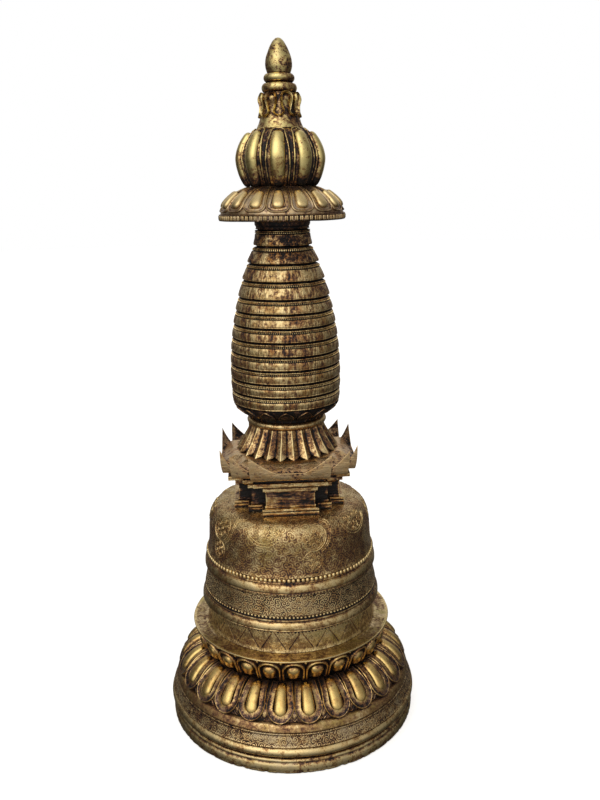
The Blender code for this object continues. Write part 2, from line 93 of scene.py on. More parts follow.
@dataclass
class Shape:
    """Points and faces of one closed form or several.

    chart holds each point's place on its surface, for the chased patterns. gilt says how thick the gold was
    laid: 1 on bosses, 0 on plain work, below 0 on sunk grounds. In places it also carries painted shade,
    lower in grooves, under edges and in stepped corners, and painted highlights, higher on lips, crests and
    edges.
    """

    points: np.ndarray
    faces: list[Face]
    chart: np.ndarray
    gilt_and_shading: np.ndarray

    @property
    def radii(self) -> np.ndarray:
        """Each point's distance from the axis."""
        return np.hypot(self.points[:, 0], self.points[:, 1])

    def mesh(self, name: str) -> bpy.types.Mesh:
        """Turn the shape into a tidy mesh in metres that keeps its chart and gilt.

        Args:
            name: the mesh's name.

        Returns:
            The new mesh, with doubled points merged and faces pointing outwards.
        """
        mesh = bpy.data.meshes.new(name)
        mesh.from_pydata((self.points * MM).tolist(), [], self.faces)
        keep(mesh, "chart", np.column_stack([self.chart * MM, np.zeros(len(self.chart))]))
        keep(mesh, "gilt_and_shading", self.gilt_and_shading)
        tidy_mesh(mesh)
        return mesh

    def tinted(self, low: float, high: float, gilt_and_shading: float) -> "Shape":
        """Return the shape with another thickness of gold between two heights. In grooves and on lips this
        paints shade and highlights.
        """
        here = (self.points[:, 2] > low) & (self.points[:, 2] < high)
        return replace(self, gilt_and_shading=np.where(here, gilt_and_shading, self.gilt_and_shading))

    def darkened_downwards(self, low: float, high: float, loss: float) -> "Shape":
        """Return the shape darkened little by little from one height down to another: painted shade that
        deepens downwards.
        """
        share = np.clip((high - self.points[:, 2]) / (high - low), 0, 1)
        return replace(self, gilt_and_shading=self.gilt_and_shading - loss * share ** WEAR_AND_SHADE_POWER)

    def lipped(self, radius: float, gilt_and_shading: float) -> "Shape":
        """Return the shape with another thickness of gold beyond a radius."""
        return replace(self, gilt_and_shading=np.where(self.radii > radius, gilt_and_shading, self.gilt_and_shading))

    def ragged(self, low: float, high: float, depth: float, seed: int) -> "Shape":
        """Return the shape with its edge worn unevenly.

        Args:
            low: the height where it is worn fully.
            high: the height from which it isn't worn.
            depth: how deep the wear goes.
            seed: the fixed seed of its waves.

        Returns:
            The worn shape.
        """
        angle = np.arctan2(self.points[:, 1], self.points[:, 0])
        chance = np.random.default_rng(seed)
        bite = sum(np.sin(angle * count + chance.uniform(0, tau)) * share for count, share in TEETH)
        share = np.clip((high - self.points[:, 2]) / (high - low), 0, 1) ** WEAR_AND_SHADE_POWER
        scale = 1 - depth * share * np.clip(bite, 0, 2) / np.maximum(self.radii, 1)
        return replace(self, points=self.points * np.column_stack([scale, scale, np.ones_like(scale)]))


def keep(mesh: bpy.types.Mesh, name: str, values: np.ndarray) -> None:
    """Store a number or a vector for each point of a mesh.

    Args:
        mesh: the mesh.
        name: the attribute's name.
        values: one number or one row for each point.
    """
    kind, label = ("FLOAT_VECTOR", "vector") if values.ndim == 2 else ("FLOAT", "value")
    stored = mesh.attributes.new(name, kind, "POINT")
    stored.data.foreach_set(label, values.astype(np.float32).ravel())


def read(mesh: bpy.types.Mesh, name: str) -> np.ndarray:
    """Return one number attribute of a mesh.

    Args:
        mesh: the mesh.
        name: the attribute's name.

    Returns:
        One number for each point.
    """
    values = np.empty(len(mesh.vertices), np.float32)
    mesh.attributes[name].data.foreach_get("value", values)
    return values


def read_points(mesh: bpy.types.Mesh) -> np.ndarray:
    """Return a mesh's points as rows.

    Args:
        mesh: the mesh.

    Returns:
        One row for each point, in metres.
    """
    points = np.empty(len(mesh.vertices) * 3, np.float32)
    mesh.vertices.foreach_get("co", points)
    return points.reshape(-1, 3).astype(float)


def tidy_mesh(mesh: bpy.types.Mesh, crease: float = CREASE) -> None:
    """Merge doubled points, turn faces outwards and shade the mesh smooth with crisp creases.

    Args:
        mesh: the mesh, changed in place.
        crease: the angle between faces from which an edge is crisp.
    """
    bm = bmesh.new()
    bm.from_mesh(mesh)
    bmesh.ops.remove_doubles(bm, verts=bm.verts, dist=MERGE_DISTANCE)
    bmesh.ops.recalc_face_normals(bm, faces=bm.faces)
    bm.to_mesh(mesh)
    bm.free()
    mesh.shade_smooth()
    mesh.set_sharp_from_angle(angle=crease)


def joined(*shapes: Shape) -> Shape:
    """Return several shapes as one.

    Args:
        shapes: the shapes, in the order of their points.

    Returns:
        The one shape.
    """
    faces: list[Face] = []
    start = 0
    for shape in shapes:
        faces += [tuple(index + start for index in face) for face in shape.faces]
        start += len(shape.points)
    return Shape(np.vstack([s.points for s in shapes]), faces, np.vstack([s.chart for s in shapes]),
                 np.concatenate([s.gilt_and_shading for s in shapes]))


def quads(rows: int, columns: int, loop_rows: bool, loop_columns: bool) -> list[Face]:
    """Return the quads of a grid of points.

    Args:
        rows: rows of points, one after another.
        columns: points in each row.
        loop_rows: whether the last row joins the first.
        loop_columns: whether each row closes on itself.

    Returns:
        Quads that face outwards when rows run down and columns run towards +X.
    """
    row = np.arange(rows if loop_rows else rows - 1)[:, None]
    column = np.arange(columns if loop_columns else columns - 1)[None, :]
    below, beside = (row + 1) % rows, (column + 1) % columns
    corners = [row * columns + column, below * columns + column, below * columns + beside,
               row * columns + beside]
    return [tuple(face) for face in np.stack(corners, -1).reshape(-1, 4).tolist()]


def polar(radius: np.ndarray | float, angle: np.ndarray, height: np.ndarray | float) -> np.ndarray:
    """Return points from their radius, their angle from the front towards +X and their height."""
    return np.stack(np.broadcast_arrays(radius * np.sin(angle), -radius * np.cos(angle), height), -1)


def rotated(points: np.ndarray, turn: float) -> np.ndarray:
    """Return points turned about the axis."""
    x, y = points[:, 0], points[:, 1]
    return np.column_stack([x * cos(turn) - y * sin(turn), x * sin(turn) + y * cos(turn), points[:, 2:]])


def smooth(points: Sequence[Pair], step: float) -> Outline:
    """Run a smooth curve through points.

    Args:
        points: pairs that the curve passes through.
        step: the widest spacing of the result.

    Returns:
        The curve's points, from the first to the last.
    """
    knots = np.array(points, float)
    knots = np.vstack([2 * knots[0] - knots[1], knots, 2 * knots[-1] - knots[-2]])
    run: Outline = []
    for a, b, c, d in zip(knots, knots[1:], knots[2:], knots[3:]):
        count = max(2, ceil(float(np.linalg.norm(c - b)) / step))
        for t in np.arange(count) / count:
            spot = b + 0.5 * t * (c - a + t * (2 * a - 5 * b + 4 * c - d + t * (3 * (b - c) + d - a)))
            run.append((float(spot[0]), float(spot[1])))
    return run + [tuple(map(float, knots[-2]))]


def bulge(root: float, reach: float, low: float, high: float, count: int) -> Outline:
    """Return the half round of a ring, from its head out over its belly to its foot.

    Args:
        root: the radius where the round starts.
        reach: the radius of its belly.
        low: the height of its foot.
        high: the height of its head.
        count: how many points.

    Returns:
        The outline.
    """
    middle, half = (low + high) / 2, (high - low) / 2
    return [(root + (reach - root) * cos(a), middle + half * sin(a))
            for a in np.linspace(pi / 2, -pi / 2, count)]


def domed(head: Pair, edge: Pair, fullness: float, count: int) -> Outline:
    """Return a domed outline from its head out and down to its edge.

    Args:
        head: radius and height at the head.
        edge: radius and height at the edge.
        fullness: 2 for an ellipse, 1 for a cone.
        count: how many points.

    Returns:
        The outline.
    """
    power = 2 / fullness
    return [(head[0] + (edge[0] - head[0]) * sin(a) ** power, edge[1] + (head[1] - edge[1]) * cos(a) ** power)
            for a in np.linspace(0, pi / 2, count)]


def arc(across: float, down: float, radius: float, start: float, stop: float, count: int) -> Outline:
    """Return an arc as places on a carrier, from one angle to another."""
    return [(across + radius * cos(a), down + radius * sin(a)) for a in np.linspace(start, stop, count)]


def scroll(across: float, down: float, radius: float, turns: float, start: int) -> Outline:
    """Return a spiral that winds inwards, as places on a carrier. An odd start winds the other way.

    Args:
        across: its middle to the right of the front line.
        down: its middle down the carrier.
        radius: its outer radius.
        turns: how often it winds.
        start: the angle where it starts, in radians.

    Returns:
        The spiral from its outer end.
    """
    hand = 1 if start % 2 else -1
    count = int(SCROLL_POINTS * turns)
    winding = [(radius * (1 - SCROLL_CLOSING * i / count), start + hand * tau * turns * i / count)
               for i in range(count)]
    return [(across + reach * cos(angle), down + reach * sin(angle)) for reach, angle in winding]


def run_lengths(outline: Sequence[Pair]) -> np.ndarray:
    """Return the distance along an outline at each of its points."""
    steps = np.linalg.norm(np.diff(np.array(outline, float), axis=0), axis=1)
    return np.concatenate([[0.0], np.cumsum(steps)])


def wave(angle: np.ndarray, count: int) -> np.ndarray:
    """Return 1 on the middle of each of count lobes and 0 between them."""
    return np.abs(np.cos(angle * count / 2)) ** LOBE_POWER


def turned(outer: Outline, inner: Outline, segments: int = 256, gilt_and_shading: float = 0.0) -> Shape:
    """Turn an outline about the axis.

    Args:
        outer: (radius, height) points down the side that shows.
        inner: points up the hidden side.
        segments: columns round the axis.
        gilt_and_shading: how thick the gold was laid.

    Returns:
        A closed ring, or a solid where the outline starts and ends on the axis. Its chart runs both ways from
        one line behind, so that chased patterns have no seam.
    """
    rows = np.array(outer + inner, float)
    angles = tau * np.arange(segments) / segments
    points = polar(rows[:, :1], angles, rows[:, 1:])
    around = np.abs((angles - FOLD) % tau - pi) * float(np.mean(rows[:len(outer), 0]))
    chart = np.stack(np.broadcast_arrays(around, run_lengths(rows)[:, None]), -1)
    return Shape(points.reshape(-1, 3), quads(len(rows), segments, True, True), chart.reshape(-1, 2),
                 np.full(len(rows) * segments, gilt_and_shading))


def stacked(rows: Sequence[np.ndarray], gilt_and_shading: np.ndarray | float = 0.0) -> Shape:
    """Join closed rows of points, from the head down the outer side and up the inner one.

    Args:
        rows: the rows.
        gilt_and_shading: how thick the gold was laid, in one number or one for each row and point.

    Returns:
        The closed form.
    """
    count = len(rows[0])
    points = np.vstack(rows)
    around = np.tile(run_lengths(rows[0]), len(rows))
    return Shape(points, quads(len(rows), count, True, True), np.column_stack([around, points[:, 2]]),
                 (np.zeros((len(rows), count)) + gilt_and_shading).ravel())


# Ornament laid on a turned surface


@dataclass
class Carrier:
    """A surface of turning that ornament is laid on, with lobes if it has them."""

    outline: Outline
    lobes: int = 0
    depth: float = 0.0

    @property
    def length(self) -> float:
        """The outline's whole length."""
        return float(run_lengths(self.outline)[-1])

    def half_pitch(self, down: float, copies: int) -> float:
        """Return half the width that one of so many copies has at a place down the carrier."""
        radii = [radius for radius, _ in self.outline]
        return float(np.interp(down, run_lengths(self.outline), radii)) * pi / copies

    def lay(self, across: np.ndarray, down: np.ndarray, proud: np.ndarray) -> np.ndarray:
        """Place points on the carrier at its front.

        Args:
            across: how far to the right of the front line.
            down: how far along the outline from its head.
            proud: how far out of the surface.

        Returns:
            The points, in the frame.
        """
        outline, reach = np.array(self.outline), run_lengths(self.outline)
        slope = np.gradient(outline, reach, axis=0)
        slope /= np.linalg.norm(slope, axis=1)[:, None]
        radius, height, run_r, run_z = (np.interp(down, reach, line) for line in (*outline.T, *slope.T))
        past = down - np.clip(down, 0, reach[-1])
        angle = across / np.maximum(radius, 1)
        if self.lobes:
            proud = proud - self.depth * (1 - wave(angle, self.lobes))
        return polar(radius + past * run_r - run_z * proud, angle, height + past * run_z + run_r * proud)


def ladder(start: int, count: int) -> list[Face]:
    """Return rungs that close a row of points which runs down one side and up the other."""
    return [(start + i, start + i + 1, start + count - 2 - i, start + count - 1 - i)
            for i in range((count - 1) // 2)]


def laid(carrier: Carrier, across: np.ndarray, down: np.ndarray, proud: np.ndarray, faces: list[Face],
         gilt_and_shading: np.ndarray | float) -> Shape:
    """Return a shape whose points are given as places on a carrier.

    Args:
        carrier: the surface.
        across: how far to the right of the front line.
        down: how far down the outline.
        proud: how far out of the surface.
        faces: the faces between the points.
        gilt_and_shading: how thick the gold is.

    Returns:
        The shape.
    """
    chart = np.stack(np.broadcast_arrays(across, down), -1).reshape(-1, 2)
    gold_and_shading = np.broadcast_to(gilt_and_shading, across.shape).reshape(-1).astype(float)
    return Shape(carrier.lay(across, down, proud).reshape(-1, 3), faces, chart, gold_and_shading)


@dataclass(frozen=True)
class Petal:
    """A petal on a carrier, open at its root and round at its tip.

    section runs from the edge inwards: how far in, how far out of the surface, and how gilt. In the rims the
    gilt also paints highlights on crests and shade at feet and in hollows.
    """

    root: float
    tip: float
    half_root: float
    half_tip: float
    section: tuple[Triple, ...]
    end_length: float = 0.0
    roundness: float = 2.0
    curl: float = 0.0
    centre: float = 0.0
    belly: float = 0.0
    sides: int = 12
    end: int = 20

    def hoop(self, inset: float) -> tuple[np.ndarray, np.ndarray, np.ndarray]:
        """Return one line round the petal, at a distance in from its edge.

        Args:
            inset: the distance in from the edge.

        Returns:
            Places across and down, and the share of the tip's rise at each.
        """
        heading = 1.0 if self.tip > self.root else -1.0
        end_length = self.end_length or self.half_tip
        shoulder = self.tip - heading * end_length
        share = np.linspace(0, 1, self.sides, endpoint=False)
        half = self.half_root + (self.half_tip - self.half_root) * share + self.belly * np.sin(pi * share)
        side_across = np.maximum(half - inset, 0)
        side_down = self.root + (shoulder - self.root) * share
        turn = np.linspace(-pi / 2, pi / 2, self.end + 1)
        power = 2 / self.roundness
        end_across = np.sign(np.sin(turn)) * np.abs(np.sin(turn)) ** power * max(self.half_tip - inset, 0)
        end_down = shoulder + heading * np.cos(turn) ** power * max(end_length - inset, 0)
        across = np.concatenate([-side_across, end_across, side_across[::-1]])
        down = np.concatenate([side_down, end_down, side_down[::-1]])
        reach = CURL_SHARE * abs(self.tip - self.root)
        lift = np.clip(1 - np.abs(self.tip - down) / reach, 0, 1) ** 2
        return across + self.centre, down, lift

    def shape(self, carrier: Carrier) -> Shape:
        """Return the petal as a closed form that stands on a carrier.

        Args:
            carrier: the surface that it stands on.

        Returns:
            The petal.
        """
        across, down, lift = np.array([self.hoop(inset) for inset, _, _ in self.section]).transpose(1, 0, 2)
        _, rise, gilt_and_shading = np.array(self.section).T[:, :, None]
        rows, columns = across.shape
        faces = quads(rows, columns, False, False) + ladder((rows - 1) * columns, columns)
        faces.append(tuple(range(columns)))
        lefts = [row * columns for row in range(rows)]
        faces.append(tuple(lefts + [left + columns - 1 for left in lefts[::-1]]))
        return laid(carrier, across, down, rise + self.curl * (rise > 0) * lift, faces, gilt_and_shading)


@dataclass(frozen=True)
class Boss:
    """A rounded boss on a carrier: a capsule whose two ends may differ in width."""

    top: float
    bottom: float
    half_top: float
    half_bottom: float
    height: float
    foot: float = -0.5
    swell: float = 2.0
    squareness: float = 2.0
    groove: float = 0.0
    gilt_and_shading: float = 1.0
    belly: float = 0.0
    arc: int = 12
    side: int = 10
    rings: int = 8

    def loop(self) -> np.ndarray:
        """Return the boss's outline: for each point its side, its way along, its half width and its spine.

        Returns:
            Four rows with a column for each point.
        """
        turn = np.linspace(-pi / 2, pi / 2, self.arc + 1)
        power = 2 / self.squareness
        across, along = np.sign(np.sin(turn)) * np.abs(np.sin(turn)) ** power, np.cos(turn) ** power
        high, low = self.top + self.half_top, self.bottom - self.half_bottom
        share = np.linspace(0, 1, self.side + 1)[1:-1]
        half = self.half_top + (self.half_bottom - self.half_top) * share + self.belly * np.sin(pi * share)
        spine = high + (low - high) * share
        parts = [(across, -along, self.half_top, high), (1.0, 0.0, half, spine),
                 (-across, along, self.half_bottom, low), (-1.0, 0.0, half[::-1], spine[::-1])]
        return np.concatenate([np.array(np.broadcast_arrays(*part)) for part in parts], axis=1)

    def shape(self, carrier: Carrier) -> Shape:
        """Return the boss as a closed form that stands on a carrier.

        Args:
            carrier: the surface that it stands on.

        Returns:
            The boss.
        """
        across, along, half, spine = self.loop()
        scale = np.concatenate([[1.0], np.sin(np.linspace(pi / 2, 0, self.rings))])[:, None]
        rise = (1 - np.clip(scale, 0, 1) ** self.swell) ** (1 / self.swell)
        proud = self.foot + self.height * rise + 0 * half
        proud[0] -= 1
        place = scale * half * across
        proud[1:] -= self.groove * np.exp(-(place[1:] / (GROOVE_SHARE * self.half_bottom)) ** 2)
        gilt_and_shading = np.full(place.shape, self.gilt_and_shading)
        # The foot row is darker: painted shade round the boss's foot.
        gilt_and_shading[0] = -0.5
        rows, columns = place.shape
        faces = quads(rows, columns, False, True) + [tuple(range(columns))]
        return laid(carrier, place, spine + scale * half * along, proud, faces, gilt_and_shading)


def raised_line(carrier: Carrier, path: Outline, half_width: float, height: float, closed: bool = False,
                gilt_and_shading: float = 0.6, sunk: float = 0.5, split: float = 0.0) -> Shape:
    """Return a half-round line that follows a path on a carrier.

    Args:
        carrier: the surface under it.
        path: (across, down) places.
        half_width: half the line's width.
        height: how far it stands out.
        closed: whether the path closes on itself.
        gilt_and_shading: how thick its gold is.
        sunk: how far its foot is under the surface.
        split: how deep a groove runs along its middle.

    Returns:
        The closed line.
    """
    places = np.array(path, float)
    heading = np.roll(places, -1, 0) - np.roll(places, 1, 0) if closed else np.gradient(places, axis=0)
    heading /= np.linalg.norm(heading, axis=1)[:, None]
    half = [(1.0, -sunk), (0.8, 0.62 * height)]
    if split:
        half = [(1.0, -sunk), (0.9, 0.6 * height), (0.55, height), (0.2, height - 0.6 * split)]
    profile = [(-side, rise) for side, rise in half] + [(0.0, height - split)] + half[::-1]
    side, rise = np.array(profile).T[:, :, None]
    across = places[:, 0] - heading[:, 1] * half_width * side
    down = places[:, 1] + heading[:, 0] * half_width * side
    rows, columns = across.shape
    faces = quads(rows, columns, True, closed)
    if not closed:
        starts = [row * columns for row in range(rows)]
        faces += [tuple(starts), tuple(start + columns - 1 for start in starts)]
    return laid(carrier, across, down, rise + 0 * across, faces, gilt_and_shading)


def bead(carrier: Carrier, down: float, half_across: float, half_down: float, height: float,
         across: float = 0.0, gilt_and_shading: float = 0.8, around: int = 10, rings: int = 5) -> Shape:
    """Return a small rounded bead on a carrier, sunk to its middle.

    Args:
        carrier: the surface under it.
        down: its middle down the outline.
        half_across: half its width.
        half_down: half its height.
        height: how far it stands out.
        across: its middle to the right of the front line.
        gilt_and_shading: how thick its gold is.
        around: points round it.
        rings: rings of points.

    Returns:
        The bead.
    """
    turn = tau * np.arange(around) / around
    levels = np.linspace(0, pi, rings + 2)[1:-1][:, None]
    ring_across = across + half_across * np.sin(levels) * np.cos(turn)
    ring_down = down + half_down * np.sin(levels) * np.sin(turn)
    faces = quads(rings, around, False, True)
    faces += [tuple(range(around)), tuple((rings - 1) * around + i for i in range(around))]
    return laid(carrier, ring_across, ring_down, height * np.cos(levels) + 0 * turn, faces, gilt_and_shading)


# Node trees


Socket = bpy.types.NodeSocket
Feed = Union["Num", Socket, bpy.types.bpy_struct, float, int, bool, str, Sequence[float], None]


class Num:
    """A number socket. Arithmetic on it adds Math nodes to its tree."""

    def __init__(self, bench: "Bench", socket: Socket) -> None:
        """Wrap a socket of a bench's tree."""
        self.bench = bench
        self.socket = socket

    def __add__(self, other: Feed) -> "Num":
        """Add."""
        return self.bench.math("ADD", self, other)

    __radd__ = __add__

    def __sub__(self, other: Feed) -> "Num":
        """Take other away."""
        return self.bench.math("SUBTRACT", self, other)

    def __rsub__(self, other: Feed) -> "Num":
        """Take this away from other."""
        return self.bench.math("SUBTRACT", other, self)

    def __mul__(self, other: Feed) -> "Num":
        """Multiply."""
        return self.bench.math("MULTIPLY", self, other)

    __rmul__ = __mul__

    def __truediv__(self, other: Feed) -> "Num":
        """Divide by other."""
        return self.bench.math("DIVIDE", self, other)

    def __abs__(self) -> "Num":
        """Drop the sign."""
        return self.bench.math("ABSOLUTE", self)

    def __gt__(self, other: Feed) -> "Num":
        """Give 1 where this is more than other."""
        return self.bench.math("GREATER_THAN", self, other)

    def over(self, low: float, high: float) -> "Num":
        """Rise smoothly from 0 at low to 1 at high.

        Args:
            low: the value that gives 0.
            high: the value that gives 1.

        Returns:
            The new number.
        """
        ramp = self.bench.node("ShaderNodeMapRange", {"Value": self, "From Min": low, "From Max": high},
                               interpolation_type="SMOOTHSTEP")
        return Num(self.bench, ramp.outputs["Result"])

    def held(self) -> "Num":
        """Keep within 0 and 1."""
        return self.bench.math("MINIMUM", self.bench.math("MAXIMUM", self, 0.0), 1.0)


class Bench:
    """Where a node tree is put together."""

    def __init__(self, tree: bpy.types.NodeTree) -> None:
        """Start on a tree."""
        self.tree = tree

    def node(self, kind: str, inputs: dict[Union[str, int], Feed] | None = None,
             **settings: object) -> bpy.types.Node:
        """Add a node.

        Args:
            kind: the node's type.
            inputs: values or links of its sockets, by name or place.
            settings: its own settings, which are set first.

        Returns:
            The node.
        """
        made = self.tree.nodes.new(kind)
        for name, value in settings.items():
            setattr(made, name, value)
        for key, value in (inputs or {}).items():
            self.feed(made.inputs[key], value)
        return made

    def feed(self, socket: Socket, value: Feed) -> None:
        """Link a socket or set its value.

        Args:
            socket: the socket of a node in the tree.
            value: a value, or what to link.
        """
        value = value.socket if isinstance(value, Num) else value
        if isinstance(value, Socket):
            self.tree.links.new(value, socket)
        else:
            socket.default_value = value

    def math(self, operation: str, *values: Feed) -> Num:
        """Add a Math node and return its result."""
        return Num(self, self.node("ShaderNodeMath", dict(enumerate(values)), operation=operation).outputs[0])

    def vector(self, operation: str, *values: Feed) -> Socket:
        """Add a Vector Math node and return its vector."""
        return self.node("ShaderNodeVectorMath", dict(enumerate(values)), operation=operation).outputs[0]

    def measure(self, operation: str, *values: Feed) -> Num:
        """Add a Vector Math node and return its number."""
        made = self.node("ShaderNodeVectorMath", dict(enumerate(values)), operation=operation)
        return Num(self, made.outputs["Value"])

    def scaled(self, vector: Feed, factor: Feed) -> Socket:
        """Multiply a vector by a number."""
        return self.node("ShaderNodeVectorMath", {0: vector, "Scale": factor}, operation="SCALE").outputs[0]

    def parts(self, vector: Feed) -> list[Num]:
        """Split a vector into its three numbers."""
        return [Num(self, socket) for socket in self.node("ShaderNodeSeparateXYZ", {0: vector}).outputs]

    def blend(self, factor: Feed, first: Feed, second: Feed) -> Socket:
        """Mix two colours and return the result."""
        ends = [(*end, 1.0) if isinstance(end, tuple) else end for end in (first, second)]
        return self.node("ShaderNodeMix", {0: factor, 6: ends[0], 7: ends[1]}, data_type="RGBA").outputs[2]

    def noise(self, place: Feed, size: float, seed: float, detail: float = 2.0,
              stretch: Triple = (1, 1, 1)) -> Num:
        """Return noise from 0 to 1 whose blots have about this size, stretched by three shares.

        Args:
            place: the places that it is read at.
            size: the width of its blots.
            seed: what shifts it.
            detail: how many finer layers it has.
            stretch: how much denser it is on each axis.

        Returns:
            The number.
        """
        scale = tuple(share / (size * MM) for share in stretch)
        spot = self.node("ShaderNodeMapping", {
            "Vector": place, "Location": (seed, 2 * seed, -seed), "Scale": scale})
        made = self.node("ShaderNodeTexNoise", {
            "Vector": spot.outputs["Vector"], "Scale": 1.0, "Detail": detail, "Roughness": 0.6})
        return Num(self, made.outputs[0])

    def dressed(self, geometry: Feed, finish: Feed) -> Socket:
        """Make instances real and give the geometry its finish."""
        real = self.node("GeometryNodeRealizeInstances", {0: geometry}).outputs[0]
        return self.node("GeometryNodeSetMaterial", {"Geometry": real, "Material": finish}).outputs[0]


# Finishes


class Chasing(Enum):
    """What is beaten or cut into a surface."""

    PLAIN = "plain"
    SPIRALS = "spirals"
    ZIGZAG = "zigzag"
    STREAKS = "streaks"
    STROKES = "strokes"


BLOTS = ((42.0, 3.1, 3.0), (12.0, 7.7, 4.0), (3.4, 1.3, 3.0), (1.1, 5.9, 2.0))
SPIRAL_TURNS = 2.9
ZIGZAG_FLAT = 0.09
ZIGZAG_LINE = 0.85 * MM
PIT_DEPTH = 0.45 * MM


@dataclass(frozen=True)
class Gilding:
    """A worn gilt finish over patinated copper alloy.

    level says how much gold plain work has kept. Soot and painted shade in recesses lower it, and rubbed gold
    and painted highlights on ridges raise it. Near 0 it is black with soot and painted shade, then
    purple-brown stain, olive-brown patina, aged gold and, near 1, bright gold. spread is how much that varies
    from place to place. The colours are linear. chase_size is the width of one spiral, triangle or streak of
    the chased pattern, and chase_tone how much lighter its raised parts are.
    """

    slot: str
    level: float = 0.5
    spread: float = 1.0
    speckle: float = 1.0
    bright: Triple = (0.90, 0.69, 0.34)
    aged: Triple = (0.52, 0.33, 0.14)
    worn: Triple = (0.245, 0.130, 0.070)
    stain: Triple = (0.090, 0.044, 0.032)
    soot: Triple = (0.010, 0.008, 0.008)
    copper: Triple = (0.54, 0.21, 0.06)
    copper_share: float = 0.35
    green: Triple = (0.36, 0.33, 0.07)
    green_share: float = 0.25
    lilac: Triple = (0.27, 0.205, 0.205)
    lilac_share: float = 0.30
    lilac_base: float = -0.05
    shine: float = 0.28
    dull: float = 0.52
    pitting: float = 0.8
    chasing: Chasing = Chasing.PLAIN
    chase_size: float = 9.0
    chase_depth: float = 0.45
    chase_height: float = 20.0
    chase_start: float = 1.2
    chase_tone: float = 0.35
    # How strongly soot and painted shade darken the recesses of this finish.
    soot_and_shade_gain: float = 1.0
    seed: float = 0.0

    def chased(self, bench: Bench) -> Num:
        """Return the chased pattern as a height: 1 on raised parts and 0 in a cut line or sunk ground.

        Args:
            bench: the bench of the material's tree.

        Returns:
            The height.
        """
        chart = bench.node("ShaderNodeAttribute", attribute_name="chart").outputs["Vector"]
        if self.chasing is Chasing.SPIRALS:
            return self.spirals(bench, chart)
        if self.chasing is Chasing.ZIGZAG:
            return self.zigzag(bench, chart)
        if self.chasing is Chasing.STREAKS:
            return bench.noise(chart, self.chase_size, self.seed, 3.0, (1.0, 0.14, 1.0)).over(0.34, 0.64)
        place = bench.node("ShaderNodeTexCoord").outputs["Object"]
        return bench.noise(place, self.chase_size, self.seed, 3.0, (0.2, 0.2, 1.0)).over(0.32, 0.6)

    def spirals(self, bench: Bench, chart: Socket) -> Num:
        """Return small spirals packed side by side, each turning its own way.

        Args:
            bench: the bench of the material's tree.
            chart: the socket of each point's place on its surface.

        Returns:
            The height.
        """
        cells = bench.scaled(chart, 1 / (self.chase_size * MM))
        packed = bench.node("ShaderNodeTexVoronoi", {"Vector": cells, "Scale": 1.0, "Randomness": 0.75},
                            voronoi_dimensions="2D")
        offset = bench.vector("SUBTRACT", cells, packed.outputs["Position"])
        x, y, _ = bench.parts(offset)
        hand = (bench.parts(packed.outputs["Color"])[0] > 0.5) * 2.0 - 1.0
        phase = bench.measure("LENGTH", offset) * (tau * SPIRAL_TURNS) + bench.math("ARCTAN2", y, x) * hand
        return (bench.math("SINE", phase) * 0.5 + 0.5).over(0.36, 0.72)

    def zigzag(self, bench: Bench, chart: Socket) -> Num:
        """Return thin cut lines that go up and down round a band, over fine punching.

        Args:
            bench: the bench of the material's tree.
            chart: the socket of each point's place on its surface.

        Returns:
            The height.
        """
        size, height, start = (value * MM for value in (self.chase_size, self.chase_height, self.chase_start))
        across, down, _ = bench.parts(chart)
        saw = abs(bench.math("FRACT", across / size) - 0.5) * 2.0
        level = ((saw - ZIGZAG_FLAT) / (1 - 2 * ZIGZAG_FLAT)).held()
        slope = 2 * height / (size * (1 - 2 * ZIGZAG_FLAT))
        distance = abs(down - start - level * height) / sqrt(1 + slope ** 2)
        edge = 0.5 - ZIGZAG_FLAT
        on_flat = (saw - 0.5).over(edge - 0.01, edge) + (0.5 - saw).over(edge - 0.01, edge)
        punched = bench.noise(chart, 1.3, self.seed, 1.0, (1.6, 0.7, 1.0)).over(0.35, 0.6)
        return (distance.over(0.35 * ZIGZAG_LINE, ZIGZAG_LINE) + on_flat).held() * (0.62 + punched * 0.38)

    def material(self) -> bpy.types.Material:
        """Return the finish as a material.

        Returns:
            The new material, named after the finish's slot.
        """
        made = bpy.data.materials.new(self.slot)
        made.use_nodes = True
        made.node_tree.nodes.clear()
        bench = Bench(made.node_tree)
        place = bench.node("ShaderNodeTexCoord").outputs["Object"]
        soot, rub, gilt_and_shading = (Num(bench, bench.node("ShaderNodeAttribute", attribute_name=name).outputs["Fac"])
                           for name in ("soot", "rub", "gilt_and_shading"))
        broad, middle, fine, grain = (bench.noise(place, size, self.seed + shift, detail) - 0.5
                                      for size, shift, detail in BLOTS)
        cut = self.chased(bench) if self.chasing is not Chasing.PLAIN else None

        # The level falls with soot and painted shade in recesses and rises with rubbed gold and painted
        # highlights on ridges.
        level = (self.level + gilt_and_shading * 0.32 + rub * 0.26 - soot * (0.85 * self.soot_and_shade_gain)
                 + (broad * 1.0 + middle * 1.5 + fine * 1.6 + grain * self.speckle) * self.spread)
        if cut:
            level = level + (cut - 0.5) * self.chase_tone
        colour: Socket | Triple = self.soot
        for shade, low, high in ((self.stain, 0.05, 0.24), (self.worn, 0.24, 0.46), (self.aged, 0.46, 0.70),
                                 (self.bright, 0.70, 0.98)):
            colour = bench.blend(level.over(low, high), colour, shade)
        red = (middle * -2.6 + fine * 1.8 + 0.1).held() * level.over(0.25, 0.6) * self.copper_share
        green = (broad * 2.4 - middle * 1.8).held() * level.over(0.35, 0.6) * self.green_share
        lilac = ((middle * 2.2 + broad * 1.6 + self.lilac_base).held() * level.over(0.12, 0.35)
                 * self.lilac_share * (1.4 - gilt_and_shading).held())
        for share, tint in ((lilac, self.lilac), (red, self.copper), (green, self.green)):
            colour = bench.blend(share, colour, tint)

